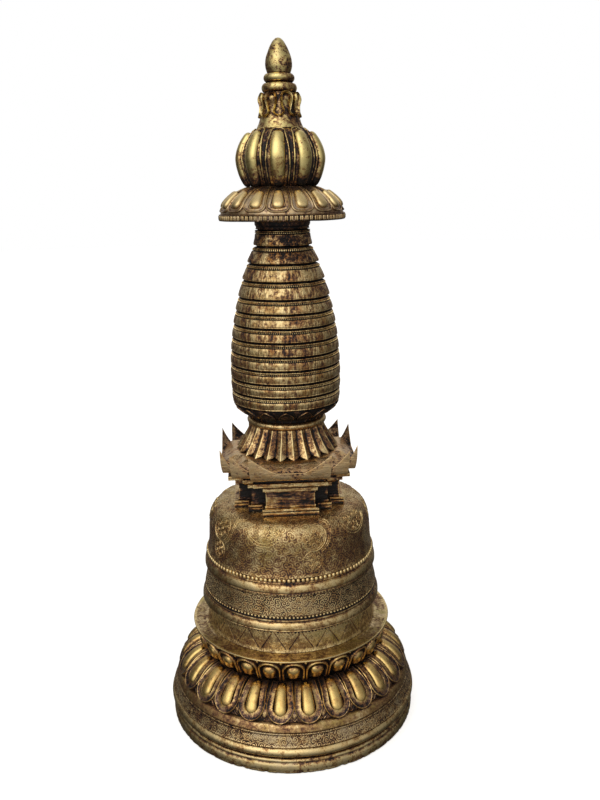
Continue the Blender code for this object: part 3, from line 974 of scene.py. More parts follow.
        pits = fine * 0.45 + grain * 0.2 + middle * 0.9
        normal = bench.node("ShaderNodeBump", {
            "Strength": self.pitting, "Distance": PIT_DEPTH, "Height": pits})
        if cut:
            normal = bench.node("ShaderNodeBump", {"Strength": 1.0, "Distance": self.chase_depth * MM,
                                                   "Height": cut, "Normal": normal.outputs[0]})
        rough = self.dull - level.over(0.35, 0.85) * (self.dull - self.shine) + fine * 0.25
        metal = 0.45 + level.over(0.1, 0.45) * 0.55
        shader = bench.node("ShaderNodeBsdfPrincipled", {
            "Base Color": colour, "Roughness": rough.held(), "Metallic": metal.held(),
            "Normal": normal.outputs[0]})
        bench.node("ShaderNodeOutputMaterial", {"Surface": shader.outputs[0]})
        return made


FOOT_GILT = Gilding("foot_gilt", level=0.76, spread=1.3, bright=(0.84, 0.66, 0.32), green_share=0.6,
                    lilac_share=0.6, lilac_base=0.1, shine=0.36, seed=1.0)
LEDGE_GILT = Gilding("foot_gilt", level=0.36, spread=0.65, green_share=0.8, seed=1.5)
RIM_GILT = Gilding("foot_gilt", level=0.74, spread=0.9, soot_and_shade_gain=0.3, aged=(0.48, 0.34, 0.16),
                   copper_share=0.1, green_share=0.8, lilac_share=0.7, lilac_base=0.1, seed=1.7)
RING_GILT = Gilding("ring_gilt", level=0.62, soot_and_shade_gain=0.7, copper_share=0.45, seed=2.0)
CHASED_BRONZE = Gilding("chased_bronze", level=0.58, chasing=Chasing.SPIRALS, chase_size=6.2, chase_tone=0.90,
                        copper_share=0.7, lilac_share=0.45, soot_and_shade_gain=0.8, seed=3.0)
LOW_CHASED_BRONZE = Gilding("chased_bronze", level=0.58, spread=1.3, chasing=Chasing.SPIRALS, chase_size=6.4,
                            chase_tone=0.55, copper_share=0.5, lilac_share=0.7, lilac_base=0.1, seed=3.2)
BEADED_BRONZE = Gilding("chased_bronze", level=0.48, seed=3.5)
PETAL_GILT = Gilding("petal_gilt", level=0.44, spread=1.1, speckle=1.2, soot_and_shade_gain=0.75,
                     bright=(0.88, 0.63, 0.23), copper_share=0.7, lilac=(0.30, 0.215, 0.19),
                     lilac_share=0.55, lilac_base=0.25, seed=4.0)
OLIVE_BRONZE = Gilding("olive_bronze", level=0.47, spread=0.75, green_share=0.5, copper_share=0.6,
                       soot_and_shade_gain=0.0, chasing=Chasing.SPIRALS, chase_size=7.2, chase_tone=0.32,
                       chase_depth=0.3, seed=5.0)
ZIGZAG_BRONZE = Gilding("olive_bronze", level=0.49, spread=0.7, aged=(0.40, 0.28, 0.14), copper_share=0.1,
                        green_share=0.6, chasing=Chasing.ZIGZAG, chase_tone=0.6, soot_and_shade_gain=0.3, seed=5.5)
HARMIKA_BRONZE = Gilding("harmika_bronze", level=0.55, spread=0.7, chasing=Chasing.STROKES, chase_size=3.0,
                         chase_depth=0.3, chase_tone=0.5, copper_share=0.8, soot_and_shade_gain=1.4, seed=6.0)
CROWN_BRONZE = Gilding("harmika_bronze", level=0.68, spread=1.7, bright=(0.86, 0.62, 0.31),
                       aged=(0.78, 0.51, 0.27), worn=(0.44, 0.27, 0.16), chasing=Chasing.STROKES,
                       chase_size=4.0, chase_depth=0.2, chase_tone=0.2, copper_share=0.7,
                       lilac=(0.44, 0.31, 0.24), lilac_share=0.7, lilac_base=0.15, soot_and_shade_gain=0.5, seed=6.5)
SKIRT_GILT = Gilding("skirt_gilt", level=0.54, speckle=1.4, copper_share=0.7, soot_and_shade_gain=0.7, seed=7.0)
SPIRE_BRONZE = Gilding("spire_bronze", level=0.49, chasing=Chasing.STREAKS, chase_size=2.4, chase_depth=0.35,
                       chase_tone=0.42, copper_share=0.8, green_share=0.4, soot_and_shade_gain=0.7, seed=8.0)
# The top rings sit under the parasol. Their darker finish is painted shade.
SPIRE_TOP_SHADED_BRONZE = Gilding("spire_bronze", level=0.30, spread=1.6, chasing=Chasing.STREAKS, chase_size=2.6,
                           chase_depth=0.3, chase_tone=0.15, copper_share=1.2, seed=8.5)
# Nearly black. On the collar it is painted shade under the parasol. On the calyx it is dark patina with
# painted shade.
DARK_AND_SHADED_BRONZE = Gilding("dark_bronze", level=0.10, soot_and_shade_gain=0.6, seed=9.0)
PARASOL_GILT = Gilding("parasol_gilt", level=0.61, lilac=(0.34, 0.26, 0.22), lilac_share=0.8, lilac_base=0.5,
                       soot_and_shade_gain=0.5, seed=10.0)
FINIAL_GILT = Gilding("finial_gilt", level=0.50, spread=1.4, bright=(0.88, 0.72, 0.30), green_share=0.4,
                      shine=0.22, pitting=0.4, seed=11.0)
BUD_GILT = replace(FINIAL_GILT, level=0.42, spread=1.9, lilac_share=0.5, seed=11.6)
PLATE_COPPER = Gilding("plate_copper", level=0.40, copper_share=0.8, seed=12.0)


# Geometry node trees


WELD = 0.02 * MM
RAYS = 24
RAY_SEED = 5
# The rays' reach and lift set the soot and painted shade. The blur and ridge set the rubbed gold and painted
# highlights on ridges.
SHADE_AND_WEAR = {"Reach": 26 * MM, "Lift": 0.15 * MM, "Blur": 9, "Ridge": 0.22 * MM}


def new_tree(name: str, inputs: dict[str, str]) -> tuple[Bench, bpy.types.Node, bpy.types.Node]:
    """Start a geometry node tree.

    Args:
        name: the tree's name.
        inputs: its inputs after the geometry, each with its socket type.

    Returns:
        The bench, and the tree's input and output nodes.
    """
    tree = bpy.data.node_groups.new(name, "GeometryNodeTree")
    for label, kind in {"Geometry": "Geometry", **inputs}.items():
        tree.interface.new_socket(label, in_out="INPUT", socket_type=f"NodeSocket{kind}")
    tree.interface.new_socket("Geometry", in_out="OUTPUT", socket_type="NodeSocketGeometry")
    bench = Bench(tree)
    return bench, bench.node("NodeGroupInput"), bench.node("NodeGroupOutput")


def ring_tree() -> bpy.types.NodeTree:
    """Return the tree that sets copies of a sector round the axis on a bed, each a little out of true.

    Returns:
        The tree, whose result is the bed with all copies in one finish.
    """
    bench, given, result = new_tree("ring_of_copies", {
        "Bed": "Object", "Copies": "Int", "Turn": "Float", "Sway": "Float", "Seed": "Int",
        "Finish": "Material"})
    copies, turn, sway = (Num(bench, given.outputs[name]) for name in ("Copies", "Turn", "Sway"))
    spots = bench.node("GeometryNodePoints", {"Count": copies, "Position": (0.0, 0.0, 0.0)})
    index = Num(bench, bench.node("GeometryNodeInputIndex").outputs[0])
    chance = bench.node("FunctionNodeRandomValue", {2: -1.0, 3: 1.0, "Seed": given.outputs["Seed"]},
                        data_type="FLOAT")
    around = index * tau / copies + turn + Num(bench, chance.outputs[1]) * sway
    euler = bench.node("ShaderNodeCombineXYZ", {"Z": around})
    rotation = bench.node("FunctionNodeEulerToRotation", {0: euler.outputs[0]})
    placed = bench.node("GeometryNodeInstanceOnPoints", {
        "Points": spots.outputs[0], "Instance": given.outputs["Geometry"], "Rotation": rotation.outputs[0]})
    real = bench.node("GeometryNodeRealizeInstances", {0: placed.outputs[0]})
    merged = bench.node("GeometryNodeMergeByDistance", {"Geometry": real.outputs[0], "Distance": WELD})
    bed = bench.node("GeometryNodeObjectInfo", {"Object": given.outputs["Bed"]})
    both = bench.node("GeometryNodeJoinGeometry")
    for source in (bed.outputs["Geometry"], merged.outputs[0]):
        bench.feed(both.inputs[0], source)
    bench.feed(result.inputs[0], bench.dressed(both.outputs[0], given.outputs["Finish"]))
    return bench.tree


def shade_and_wear_tree(directions: int, seed: int) -> bpy.types.NodeTree:
    """Return the tree that finds where soot and painted shade go and where rubbed gold and painted highlights
    go.

    Rays go out over each point. The more of them a neighbour stops, and the nearer it is, the darker the
    point is painted with soot and shade, much as ambient occlusion. A point that stands out from its blurred
    surroundings is painted lighter, as rubbed gold with a highlight.

    Args:
        directions: how many rays leave each point.
        seed: the fixed seed of their directions.

    Returns:
        The tree. Its result has the attributes soot, for soot and painted shade, and rub, for rubbed gold and
        painted highlights.
    """
    bench, given, result = new_tree("shade_and_wear", {
        "Reach": "Float", "Lift": "Float", "Blur": "Int", "Ridge": "Float", "Finish": "Material"})
    geometry, reach = given.outputs["Geometry"], Num(bench, given.outputs["Reach"])
    position = bench.node("GeometryNodeInputPosition").outputs[0]
    normal = bench.node("GeometryNodeInputNormal").outputs[0]
    source = bench.vector("ADD", position, bench.scaled(normal, given.outputs["Lift"]))
    chance = np.random.default_rng(seed).normal(size=(directions, 3))
    blocked: Union[Num, float] = 0.0
    weight: Union[Num, float] = 0.0
    for direction in chance / np.linalg.norm(chance, axis=1)[:, None]:
        ray = tuple(float(part) for part in direction)
        facing = bench.measure("DOT_PRODUCT", normal, ray)
        outward = bench.scaled(ray, (facing > 0.0) * 2.0 - 1.0)
        cast = bench.node("GeometryNodeRaycast", {"Target Geometry": geometry, "Source Position": source,
                                                  "Ray Direction": outward, "Ray Length": reach})
        near = Num(bench, cast.outputs["Is Hit"]) * (1.0 - Num(bench, cast.outputs["Hit Distance"]) / reach)
        blocked = near * abs(facing) + blocked
        weight = abs(facing) + weight
    # Points that stand out from their blurred surroundings are painted lighter, as rubbed gold and a painted
    # highlight.
    blurred = bench.node("GeometryNodeBlurAttribute", {
        "Value": position, "Iterations": given.outputs["Blur"]}, data_type="FLOAT_VECTOR")
    away = bench.vector("SUBTRACT", position, blurred.outputs[0])
    ridge = bench.measure("DOT_PRODUCT", away, normal) / given.outputs["Ridge"]
    for name, value in (("soot", blocked / weight), ("rub", ridge)):
        geometry = bench.node("GeometryNodeStoreNamedAttribute", {
            "Geometry": geometry, "Name": name, "Value": value}, data_type="FLOAT", domain="POINT").outputs[0]
    bench.feed(result.inputs[0], bench.dressed(geometry, given.outputs["Finish"]))
    return bench.tree


def grown(piece: bpy.types.Object, tree: bpy.types.NodeTree, inputs: dict[str, object]) -> bpy.types.Mesh:
    """Run a geometry node tree on an object and return the result as a plain mesh.

    Args:
        piece: the object that carries the modifier while this runs.
        tree: the geometry node tree.
        inputs: values of its named inputs.

    Returns:
        The new mesh. The modifier is gone again.
    """
    modifier = piece.modifiers.new("grow", "NODES")
    modifier.node_group = tree
    for item in tree.interface.items_tree:
        if item.item_type == "SOCKET" and item.in_out == "INPUT" and item.name in inputs:
            modifier[item.identifier] = inputs[item.name]
    evaluated = piece.evaluated_get(bpy.context.evaluated_depsgraph_get())
    mesh = bpy.data.meshes.new_from_object(evaluated)
    piece.modifiers.remove(modifier)
    return mesh


# The workshop


@dataclass(frozen=True)
class Extent:
    """A node's foot height, head height and outer radius in the frame."""

    low: float
    high: float
    radius: float

    def side(self, head: Sequence[Pair], foot: Sequence[Pair], step: float) -> Outline:
        """Run a smooth curve down the side that shows.

        Args:
            head: places from the head down: how far out from the outer radius, and how far below the head.
            foot: the places after them: how far out, and how far above the foot.
            step: the widest spacing of the result.

        Returns:
            The curve's points, from the head down.
        """
        knots = [(self.radius + out, self.high - fall) for out, fall in head]
        return smooth(knots + [(self.radius + out, self.low + rise) for out, rise in foot], step)

    def bore(self, foot: float, head: float | None = None) -> Outline:
        """Return the hidden side from foot to head, so far in from the outer radius."""
        return [(self.radius - foot, self.low), (self.radius - (foot if head is None else head), self.high)]


def span(node: str) -> Extent:
    """Return a node's extent."""
    low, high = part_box(node)
    return Extent(low.z / MM, high.z / MM, high.x / MM)


@dataclass
class Hand:
    """The unevenness of beaten metal: a smooth field that moves neighbouring pieces together.

    bands holds the length and the amount of each size of wave.
    """

    seed: int = 7
    bands: tuple[Pair, ...] = ((110, 0.16), (34, 0.10), (12, 0.04))
    waves: int = 9

    def moved(self, points: np.ndarray) -> np.ndarray:
        """Return points in metres, moved by the field.

        Args:
            points: the points as rows.

        Returns:
            The moved points.
        """
        chance = np.random.default_rng(self.seed)
        result = points.copy()
        for length, amount in self.bands:
            for _ in range(self.waves):
                ahead, push = chance.normal(size=(2, 3))
                ahead *= tau / (length * MM * np.linalg.norm(ahead))
                swing = np.sin(points @ ahead + chance.uniform(0, tau))[:, None]
                result += swing * push * (amount * MM) / sqrt(self.waves)
        return result


@dataclass
class Piece:
    """One finished piece and the node that it stands for."""

    thing: bpy.types.Object
    node: str
    finish: Gilding


@dataclass
class Workshop:
    """Collects the pieces, gives them soot, painted shade, rubbed gold and painted highlights together and
    hands them to the frame.
    """

    hand: Hand = field(default_factory=Hand)
    pieces: list[Piece] = field(default_factory=list)
    materials: dict[Gilding, bpy.types.Material] = field(default_factory=dict)
    ring: bpy.types.NodeTree = field(default_factory=ring_tree)

    def paint(self, finish: Gilding) -> bpy.types.Material:
        """Return a finish's material, made once.

        Args:
            finish: the finish.

        Returns:
            Its material.
        """
        if finish not in self.materials:
            self.materials[finish] = finish.material()
        return self.materials[finish]

    def add(self, node: str, bed: Shape, finish: Gilding, sector: Shape | None = None, copies: int = 1,
            turn: float = 0.0, sway: float = 0.0, crease: float = CREASE) -> None:
        """Make the piece that stands for a node.

        Args:
            node: the CAD node.
            bed: the part of the piece that isn't repeated.
            finish: its finish.
            sector: the ornament that is repeated round the axis.
            copies: how often.
            turn: the angle of the first copy from the front towards +X.
            sway: how far a copy may turn out of its place.
            crease: the angle between faces from which an edge is crisp.
        """
        ground = bpy.data.objects.new(f"{node}_bed", bed.mesh(f"{node}_bed"))
        piece = bpy.data.objects.new(f"{node}_dressed", (sector or bed).mesh(node))
        for thing in (ground, piece):
            bpy.context.scene.collection.objects.link(thing)
        if sector:
            piece.data = grown(piece, self.ring, {"Bed": ground, "Copies": copies, "Turn": turn, "Sway": sway,
                                                  "Seed": len(self.pieces), "Finish": self.paint(finish)})
        bpy.data.objects.remove(ground)
        self.finish_mesh(piece.data, self.paint(finish), crease)
        self.pieces.append(Piece(piece, node, finish))
        log.info("%s: %d faces", node, len(piece.data.polygons))

    def course(self, node: str, finish: Gilding, head: Sequence[Pair], foot: Sequence[Pair], step: float,
               bore: Sequence[float], segments: int = 256, gilt_and_shading: float = 0.0) -> None:
        """Make a plain turned course.

        Args:
            node: the CAD node.
            finish: its finish.
            head: places down its side, as for Extent.side.
            foot: the places after them.
            step: the widest spacing on its side.
            bore: how far in its hidden side lies at the foot and, where it differs, at the head.
            segments: columns round the axis.
            gilt_and_shading: how thick the gold was laid.
        """
        at = span(node)
        self.add(node, turned(at.side(head, foot, step), at.bore(*bore), segments, gilt_and_shading), finish)

    def rounded(self, node: str, finish: Gilding, root: float, bore: float, steps: int,
                segments: int) -> None:
        """Make a plump ring.

        Args:
            node: the CAD node.
            finish: its finish.
            root: how far in its round starts.
            bore: how far in its hidden side lies.
            steps: points down its round.
            segments: columns round the axis.
        """
        at = span(node)
        outer = bulge(at.radius - root, at.radius, at.low, at.high, steps)
        self.add(node, turned(outer, at.bore(bore), segments, 0.3), finish)

    def finish_mesh(self, mesh: bpy.types.Mesh, material: bpy.types.Material, crease: float) -> None:
        """Give a mesh its one material and the unevenness of the hand, and tidy it.

        Args:
            mesh: the mesh, changed in place.
            material: its material.
            crease: the angle between faces from which an edge is crisp.
        """
        mesh.materials.clear()
        mesh.materials.append(material)
        points = self.hand.moved(read_points(mesh))
        points[:, 2] = np.clip(points[:, 2], CAD_BOUNDS[0][2], CAD_BOUNDS[1][2])
        mesh.vertices.foreach_set("co", points.astype(np.float32).ravel())
        tidy_mesh(mesh, crease)

    def age(self) -> None:
        """Find soot and painted shade in recesses and rubbed gold and painted highlights on ridges, on all
        pieces at once, so that neighbours shade each other.
        """
        meshes = [piece.thing.data for piece in self.pieces]
        points = np.vstack([read_points(mesh) for mesh in meshes])
        starts = np.cumsum([0] + [len(mesh.vertices) for mesh in meshes]).tolist()
        faces = [tuple(v + start for v in face.vertices) for mesh, start in zip(meshes, starts)
                 for face in mesh.polygons]
        whole = bpy.data.meshes.new("whole")
        whole.from_pydata(points.tolist(), [], faces)
        whole.shade_smooth()
        thing = bpy.data.objects.new("whole", whole)
        bpy.context.scene.collection.objects.link(thing)
        aged = grown(thing, shade_and_wear_tree(RAYS, RAY_SEED), {**SHADE_AND_WEAR, "Finish": self.paint(FOOT_GILT)})
        for name in ("soot", "rub"):
            found = np.clip(read(aged, name), -1, 1)
            for mesh, start, stop in zip(meshes, starts, starts[1:]):
                keep(mesh, name, found[start:stop])
        bpy.data.objects.remove(thing)
        log.info("aged %d points", len(points))

    def hand_over(self) -> None:
        """Give every piece its body and hide the CAD part that it stands for."""
        for piece in self.pieces:
            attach(piece.thing, "root")
            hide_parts(piece.node)


# The courses


@dataclass
class Base:
    """The foot, the base ring, the band of scrolls and the ledge, with the plate that closes the foot."""

    plate_gap: float = 0.3
    foot_bore: float = 130.0
    groove_depth: float = 0.25
    wear_height: float = 4.5
    wear_depth: float = 1.1
    wear_seed: int = 4
    grooves: tuple[float, ...] = (0.985, 0.9, 0.88, 0.62, 0.6, 0.3, 0.28)

    def build(self, shop: Workshop) -> None:
        """Make the five pieces.

        Args:
            shop: the workshop that makes the pieces.
        """
        plate = span("base_plate")
        rings = [(plate.radius * share, plate.low - self.groove_depth * (step % 2))
                 for step, share in enumerate(self.grooves)]
        disc = [(0, plate.high), (plate.radius, plate.high), (plate.radius, plate.low)]
        shop.add("base_plate", turned(disc, rings + [(0, plate.low)], 144), PLATE_COPPER)
        at = span("foot_ring")
        outer = at.side([(-6.6, 0), (-6.2, 1.7), (-2.9, 2.5), (-1.6, 4.4), (-2.0, 6.4), (-0.5, 9.0),
                         (0, 12.5)], [(-0.4, 3.4), (-0.3, 2.2), (-1.2, 0.6), (-2.6, 0)], 0.9)
        seat, bore = plate.high + self.plate_gap, plate.radius + self.plate_gap
        inner = [(bore, at.low), (bore, seat), (self.foot_bore, seat), (self.foot_bore, at.high)]
        foot = turned(outer, inner, 720).ragged(at.low, at.low + self.wear_height, self.wear_depth,
                                                self.wear_seed)
        shop.add("foot_ring", foot.tinted(at.low - 1, at.low + 2.6, -0.35), FOOT_GILT)
        shop.rounded("base_torus", RING_GILT, 6.4, 14, 21, 288)
        shop.course("lower_scroll_band", LOW_CHASED_BRONZE,
                    [(-5.2, 0), (-4.3, 0.7), (-4.5, 1.7), (-4.6, 2.6), (-3.2, 6.0)],
                    [(-0.9, 2.2), (0, 1.0), (-0.4, 0)], 0.9, (9, 13.8), 288)
        shop.course("lotus_ledge", LEDGE_GILT, [(-3.6, 0), (-1.9, 2.4), (-0.5, 5.2)], [(0.1, 1.0), (-0.5, 0)],
                    0.9, (9, 18), 288, 0.1)


@dataclass
class Lotus:
    """The two courses of petals: large ones that hang over the ledge, and small hoods above."""

    copies: int = 26
    lower_turn: float = radians(8.3)
    upper_turn: float = radians(1.4)
    fullness: float = 1.7
    # In the rim tables the third number is the gold. The lighter crest of each lip is a painted highlight,
    # and the darker feet and hollows beside it are painted shade.
    lower_rim: tuple[Triple, ...] = (
        (0, -1.5, -0.8), (0, 1.1, -0.6), (0.35, 2.3, 0.5), (0.9, 2.7, 0.9), (1.5, 2.2, 0), (2.1, 1.8, 0.05),
        (4.2, 1.6, 0.15), (6.2, 1.8, 0.25), (6.9, 2.0, 0.3), (7.5, 1.2, -0.5), (8.1, 0.2, -1.3),
        (9.2, 0, -1.3))
    tip_rim: tuple[Triple, ...] = ((0, -1, -0.6), (0, 0.9, -0.3), (0.7, 1.6, 0.1), (1.6, 1.0, -0.5),
                                   (3.2, 1.8, -0.3), (4.9, 2.2, 0.1))
    hood_rim: tuple[Triple, ...] = (
        (0, -1.5, -0.6), (0, 1.6, -0.2), (0.4, 3.3, 0.7), (1.1, 4.1, 1.3), (1.9, 4.0, 1.0), (2.6, 3.0, 0),
        (3.3, 1.4, -0.8), (4.3, 0.4, -1.1), (6.4, 0, -1.2))

    def build(self, shop: Workshop) -> None:
        """Make both courses.

        Args:
            shop: the workshop that makes the pieces.
        """
        at = span("lower_lotus")
        outline = domed((at.radius - 33.5, at.high - 4.2), (at.radius - 4.3, at.low), self.fullness, 36)
        carrier = Carrier(outline)
        end = carrier.length
        forms = [Petal(0.4, end - 0.3, 11.2, 15.3, self.lower_rim, curl=3.0),
                 Boss(3.0, end - 5.8, 5.4, 6.8, 4.7, foot=0.2, swell=2.6, gilt_and_shading=1.3),
                 Petal(end - 19, end - 1.2, 5.4, 6.6, self.tip_rim, end_length=9.5, roundness=1.35,
                       centre=carrier.half_pitch(end - 8, self.copies))]
        inner = [(at.radius - 15, at.low), (at.radius - 40, at.high - 6)]
        bed = turned([(at.radius - 40, at.high - 4.2)] + outline, inner, 208, -0.9)
        shop.add("lower_lotus", bed, PETAL_GILT, joined(*(form.shape(carrier) for form in forms)),
                 self.copies, self.lower_turn, radians(0.3))

        at = span("upper_lotus")
        outline = at.side([(-3.8, 0), (-4.6, 4), (-7.2, 12)], [(-10.4, 6), (-12.6, 0)], 1.0)
        carrier = Carrier(outline)
        end = carrier.length
        hood = Petal(end - 0.5, 0.2, carrier.half_pitch(end, self.copies) - 0.2, 12.5, self.hood_rim,
                     end_length=12.0, roundness=2.1, curl=1.3)
        boss = Boss(6.6, 24.5, 7.6, 6.6, 6.4, foot=-0.2, squareness=2.8, swell=2.5)
        pearl = bead(carrier, 2.4, 1.7, 1.9, 2.8, across=carrier.half_pitch(1.6, self.copies), gilt_and_shading=2.0)
        sector = joined(hood.shape(carrier), boss.shape(carrier), pearl)
        shop.add("upper_lotus", turned(outline, at.bore(14), 208, -1.0), PETAL_GILT, sector, self.copies,
                 self.upper_turn, radians(0.35))


@dataclass
class Drum:
    """The flared brim, the upright zigzag wall, the two rings with dotted fillets and the chased bands."""

    wall: float = 8.5
    zigzags: int = 20
    dots: int = 166
    beads: int = 148
    crest: tuple[Pair, ...] = ((0, 0), (0.42, 0.10), (0.72, 0.28), (0.92, 0.52))

    def build(self, shop: Workshop) -> None:
        """Make the six pieces up to the foot of the dome.

        Args:
            shop: the workshop that makes the pieces.
        """
        at = span("drum_rim")
        outer = at.side([(-26.5, 0), (-16.2, 0), (-12.6, 0.55), (-8, 0.75), (-3.4, 0.6), (-1.4, 0.1),
                         (-0.5, 0.1), (-0.1, 0.7)], [(-0.5, 0.4), (-1.2, 0)], 0.8)
        inner = [(at.radius - 26.5, at.low), (at.radius - 26.5, at.high - 0.2)]
        shop.add("drum_rim", turned(outer, inner, 256, -0.1).lipped(at.radius - 3.6, 0.9), RIM_GILT)
        at = span("zigzag_drum")
        outer = at.side([(-1.3, 0), (-1.3, 14)], [(-0.9, 3), (0, 0)], 1.2)
        finish = replace(ZIGZAG_BRONZE, chase_size=tau * float(np.mean([r for r, _ in outer])) / self.zigzags,
                         chase_height=float(run_lengths(outer)[-1]) - 4.5)
        shop.add("zigzag_drum", turned(outer, at.bore(self.wall, self.wall + 1.3)), finish)
        self.ring(shop, "drum_torus", 4.3, 3.6, -4.4, 0.78, 0.1)
        at = span("drum_bead_course")
        outer = at.side([(-1.3, 0), (-0.6, 0.6), (-1.4, 1.2), (-1.5, 4.4), (-0.2, 5.1)], [(0, 0)], 0.5)
        sector = bead(Carrier(outer), 3.2, 1.65, 1.5, 1.4, gilt_and_shading=1.5, rings=4)
        bed = turned(outer, at.bore(self.wall)).tinted(at.low + 1.8, at.high - 0.9, -1.0)
        shop.add("drum_bead_course", bed, BEADED_BRONZE, sector, self.beads)
        shop.course("drum_scroll_band", CHASED_BRONZE, [(-4.2, 0), (-2.4, 9)], [(0, 0)], 1.2,
                    (self.wall, self.wall + 4.2))
        self.ring(shop, "dome_torus", 3.4, 3.6, -3.2, 0.5, 1.2)

    def ring(self, shop: Workshop, node: str, fillet: float, depth: float, step: float, dot_share: float,
             loss: float) -> None:
        """Make a full ring with a sharp lower edge, and a fillet of small dots set back under it.

        Args:
            shop: the workshop.
            node: the ring's node.
            fillet: the fillet's height.
            depth: how deep the ring's root lies.
            step: how far the fillet stands out beyond the ring.
            dot_share: how far down the fillet the dots sit.
            loss: how much painted shade darkens the ring from its middle down to its edge.
        """
        at = span(node)
        low, high, radius = at.low, at.high, at.radius
        seat, root, edge = radius + step, radius - depth, low + fillet
        rise = high - edge
        brow = [(root + out * depth, high - fall * rise) for out, fall in self.crest]
        outer = smooth(brow + [(radius - 0.1, high - 0.72 * rise), (radius - 0.45, edge + 1.5),
                               (radius, edge + 0.8), (radius - 0.4, edge + 0.2), (radius - 1.6, edge)], 0.6)
        outer += smooth([(seat - 0.5, edge - 0.1), (seat - 0.5, low + fillet / 2), (seat - 0.2, low + 0.4),
                         (seat - 0.3, low)], 0.5)
        carrier = Carrier([(seat - 0.5, low + fillet), (seat - 0.4, low)])
        sector = bead(carrier, dot_share * fillet, 1.2, 1.0, 1.3, gilt_and_shading=2.4, around=8, rings=3)
        # Painted shade: the ring darkens from its middle down to its edge. The fillet set back under its edge
        # and the groove at its head, under the beads, are darkened too.
        bed = turned(outer, at.bore(self.wall), 256, 0.3).darkened_downwards(low + fillet, high - 0.45 * rise, loss)
        bed = bed.tinted(low, low + fillet, -0.9).tinted(high - 0.16 * rise, high + 0.1, -0.8)
        shop.add(node, bed, RING_GILT, sector, self.dots)


@dataclass
class Dome:
    """The pearl course and the dome with its medallions and swags over fine scrollwork."""

    pearls: int = 120
    swags: int = 5
    turn: float = radians(-17.5)
    wall: float = 3.0
    rest: float = 29.7
    curls: tuple[Pair, ...] = ((-11, 3), (-3.5, 4), (4, 3), (11, 4), (-8, 10.5), (0, 11.5), (8, 10.5),
                               (-3, 17), (4.5, 17))

    def build(self, shop: Workshop) -> None:
        """Make the pearls and the dome.

        Args:
            shop: the workshop that makes the pieces.
        """
        at = span("dome_bead_course")
        outer = at.side([(-3.0, 0), (-2.5, 0.8), (-3.0, 2.2)], [(-2.7, 1.2), (-2.0, 0)], 0.5)
        knob = Boss(0.3, 5.3, 2.25, 2.25, 3.3, squareness=3.0, swell=2.4, gilt_and_shading=1.3, arc=6, side=2, rings=6)
        shop.add("dome_bead_course", turned(outer, at.bore(10), 256, -0.5), RING_GILT,
                 knob.shape(Carrier(outer)), self.pearls, 0.0, radians(0.12))
        at = span("dome")
        flat = [(step * (at.radius - self.rest) / 8, at.high) for step in range(8)]
        side = at.side([(-self.rest, 0), (-22.2, 0.5), (-15.2, 2.6), (-9.6, 7.2), (-5.6, 14.6), (-3.8, 23.5),
                        (-3.0, 34)], [(-2.4, 12.5), (-1.3, 4.5), (0, 0)], 1.0)
        inner = [(r - self.wall, max(z - self.wall, at.low)) for r, z in side[::-6]]
        inner.append((0, at.high - self.wall))
        # The dome keeps more gold in a band at its top and darkens below it. The lighter top is a painted
        # highlight on its shoulder.
        bed = turned(flat + side, inner, 256, 0.6).darkened_downwards(at.high - 14, at.high - 1, 0.65)
        shop.add("dome", bed, OLIVE_BRONZE, self.garland(Carrier(flat + side)), self.swags, self.turn,
                 radians(0.5))

    def garland(self, carrier: Carrier) -> Shape:
        """Return one deep swag with the roundel of scrolls beside it and the arcs round both.

        Args:
            carrier: the dome's surface.

        Returns:
            The lines of one of the repeats.
        """
        end = carrier.length
        roundel = (carrier.half_pitch(end - 34, 1) / pi * radians(34.5), end - 41)
        flower = (roundel[0] - 1, end - 17)
        forms = [raised_line(carrier, arc(0, end - 57, reach, pi / 2 + 1.25, pi / 2 - 1.25, 25), width, width,
                             gilt_and_shading=0.9) for reach, width in ((23.5, 0.55), (20.5, 0.8))]
        forms += [raised_line(carrier, arc(*roundel, reach, 0, tau, 37)[:-1], width, width, True, 0.9)
                  for reach, width in ((13.6, 0.75), (11.4, 0.45))]
        for reach in (17.2, 19.4):
            bow = arc(roundel[0], roundel[1] - 2, reach, -1.5, 1.1, 22)
            bough = [(-24 - 30 * s, end - 60 + (reach - 17.2) + 19 * s ** 1.6) for s in np.linspace(0, 1, 14)]
            forms += [raised_line(carrier, line, 0.55, 0.6) for line in (bow, bough)]
        forms.append(raised_line(carrier, arc(*flower, 10.6, 0, tau, 37)[:-1], 0.5, 0.5, True, 0.5))
        spots = [(*roundel, 3.6), (*flower, 3.0)]
        for centre, reach, size in ((roundel, 7.2, 3.3), (flower, 6.4, 2.9)):
            spots += [(x, y, size) for x, y in arc(*centre, reach, pi / 2, pi / 2 - tau, 7)[:-1]]
        spots += [(x, end - 57 + y, 3.4) for x, y in self.curls]
        forms += [raised_line(carrier, scroll(x, y, size, 1.6, index), 0.5, 0.6, gilt_and_shading=0.9)
                  for index, (x, y, size) in enumerate(spots)]
        return joined(*forms)


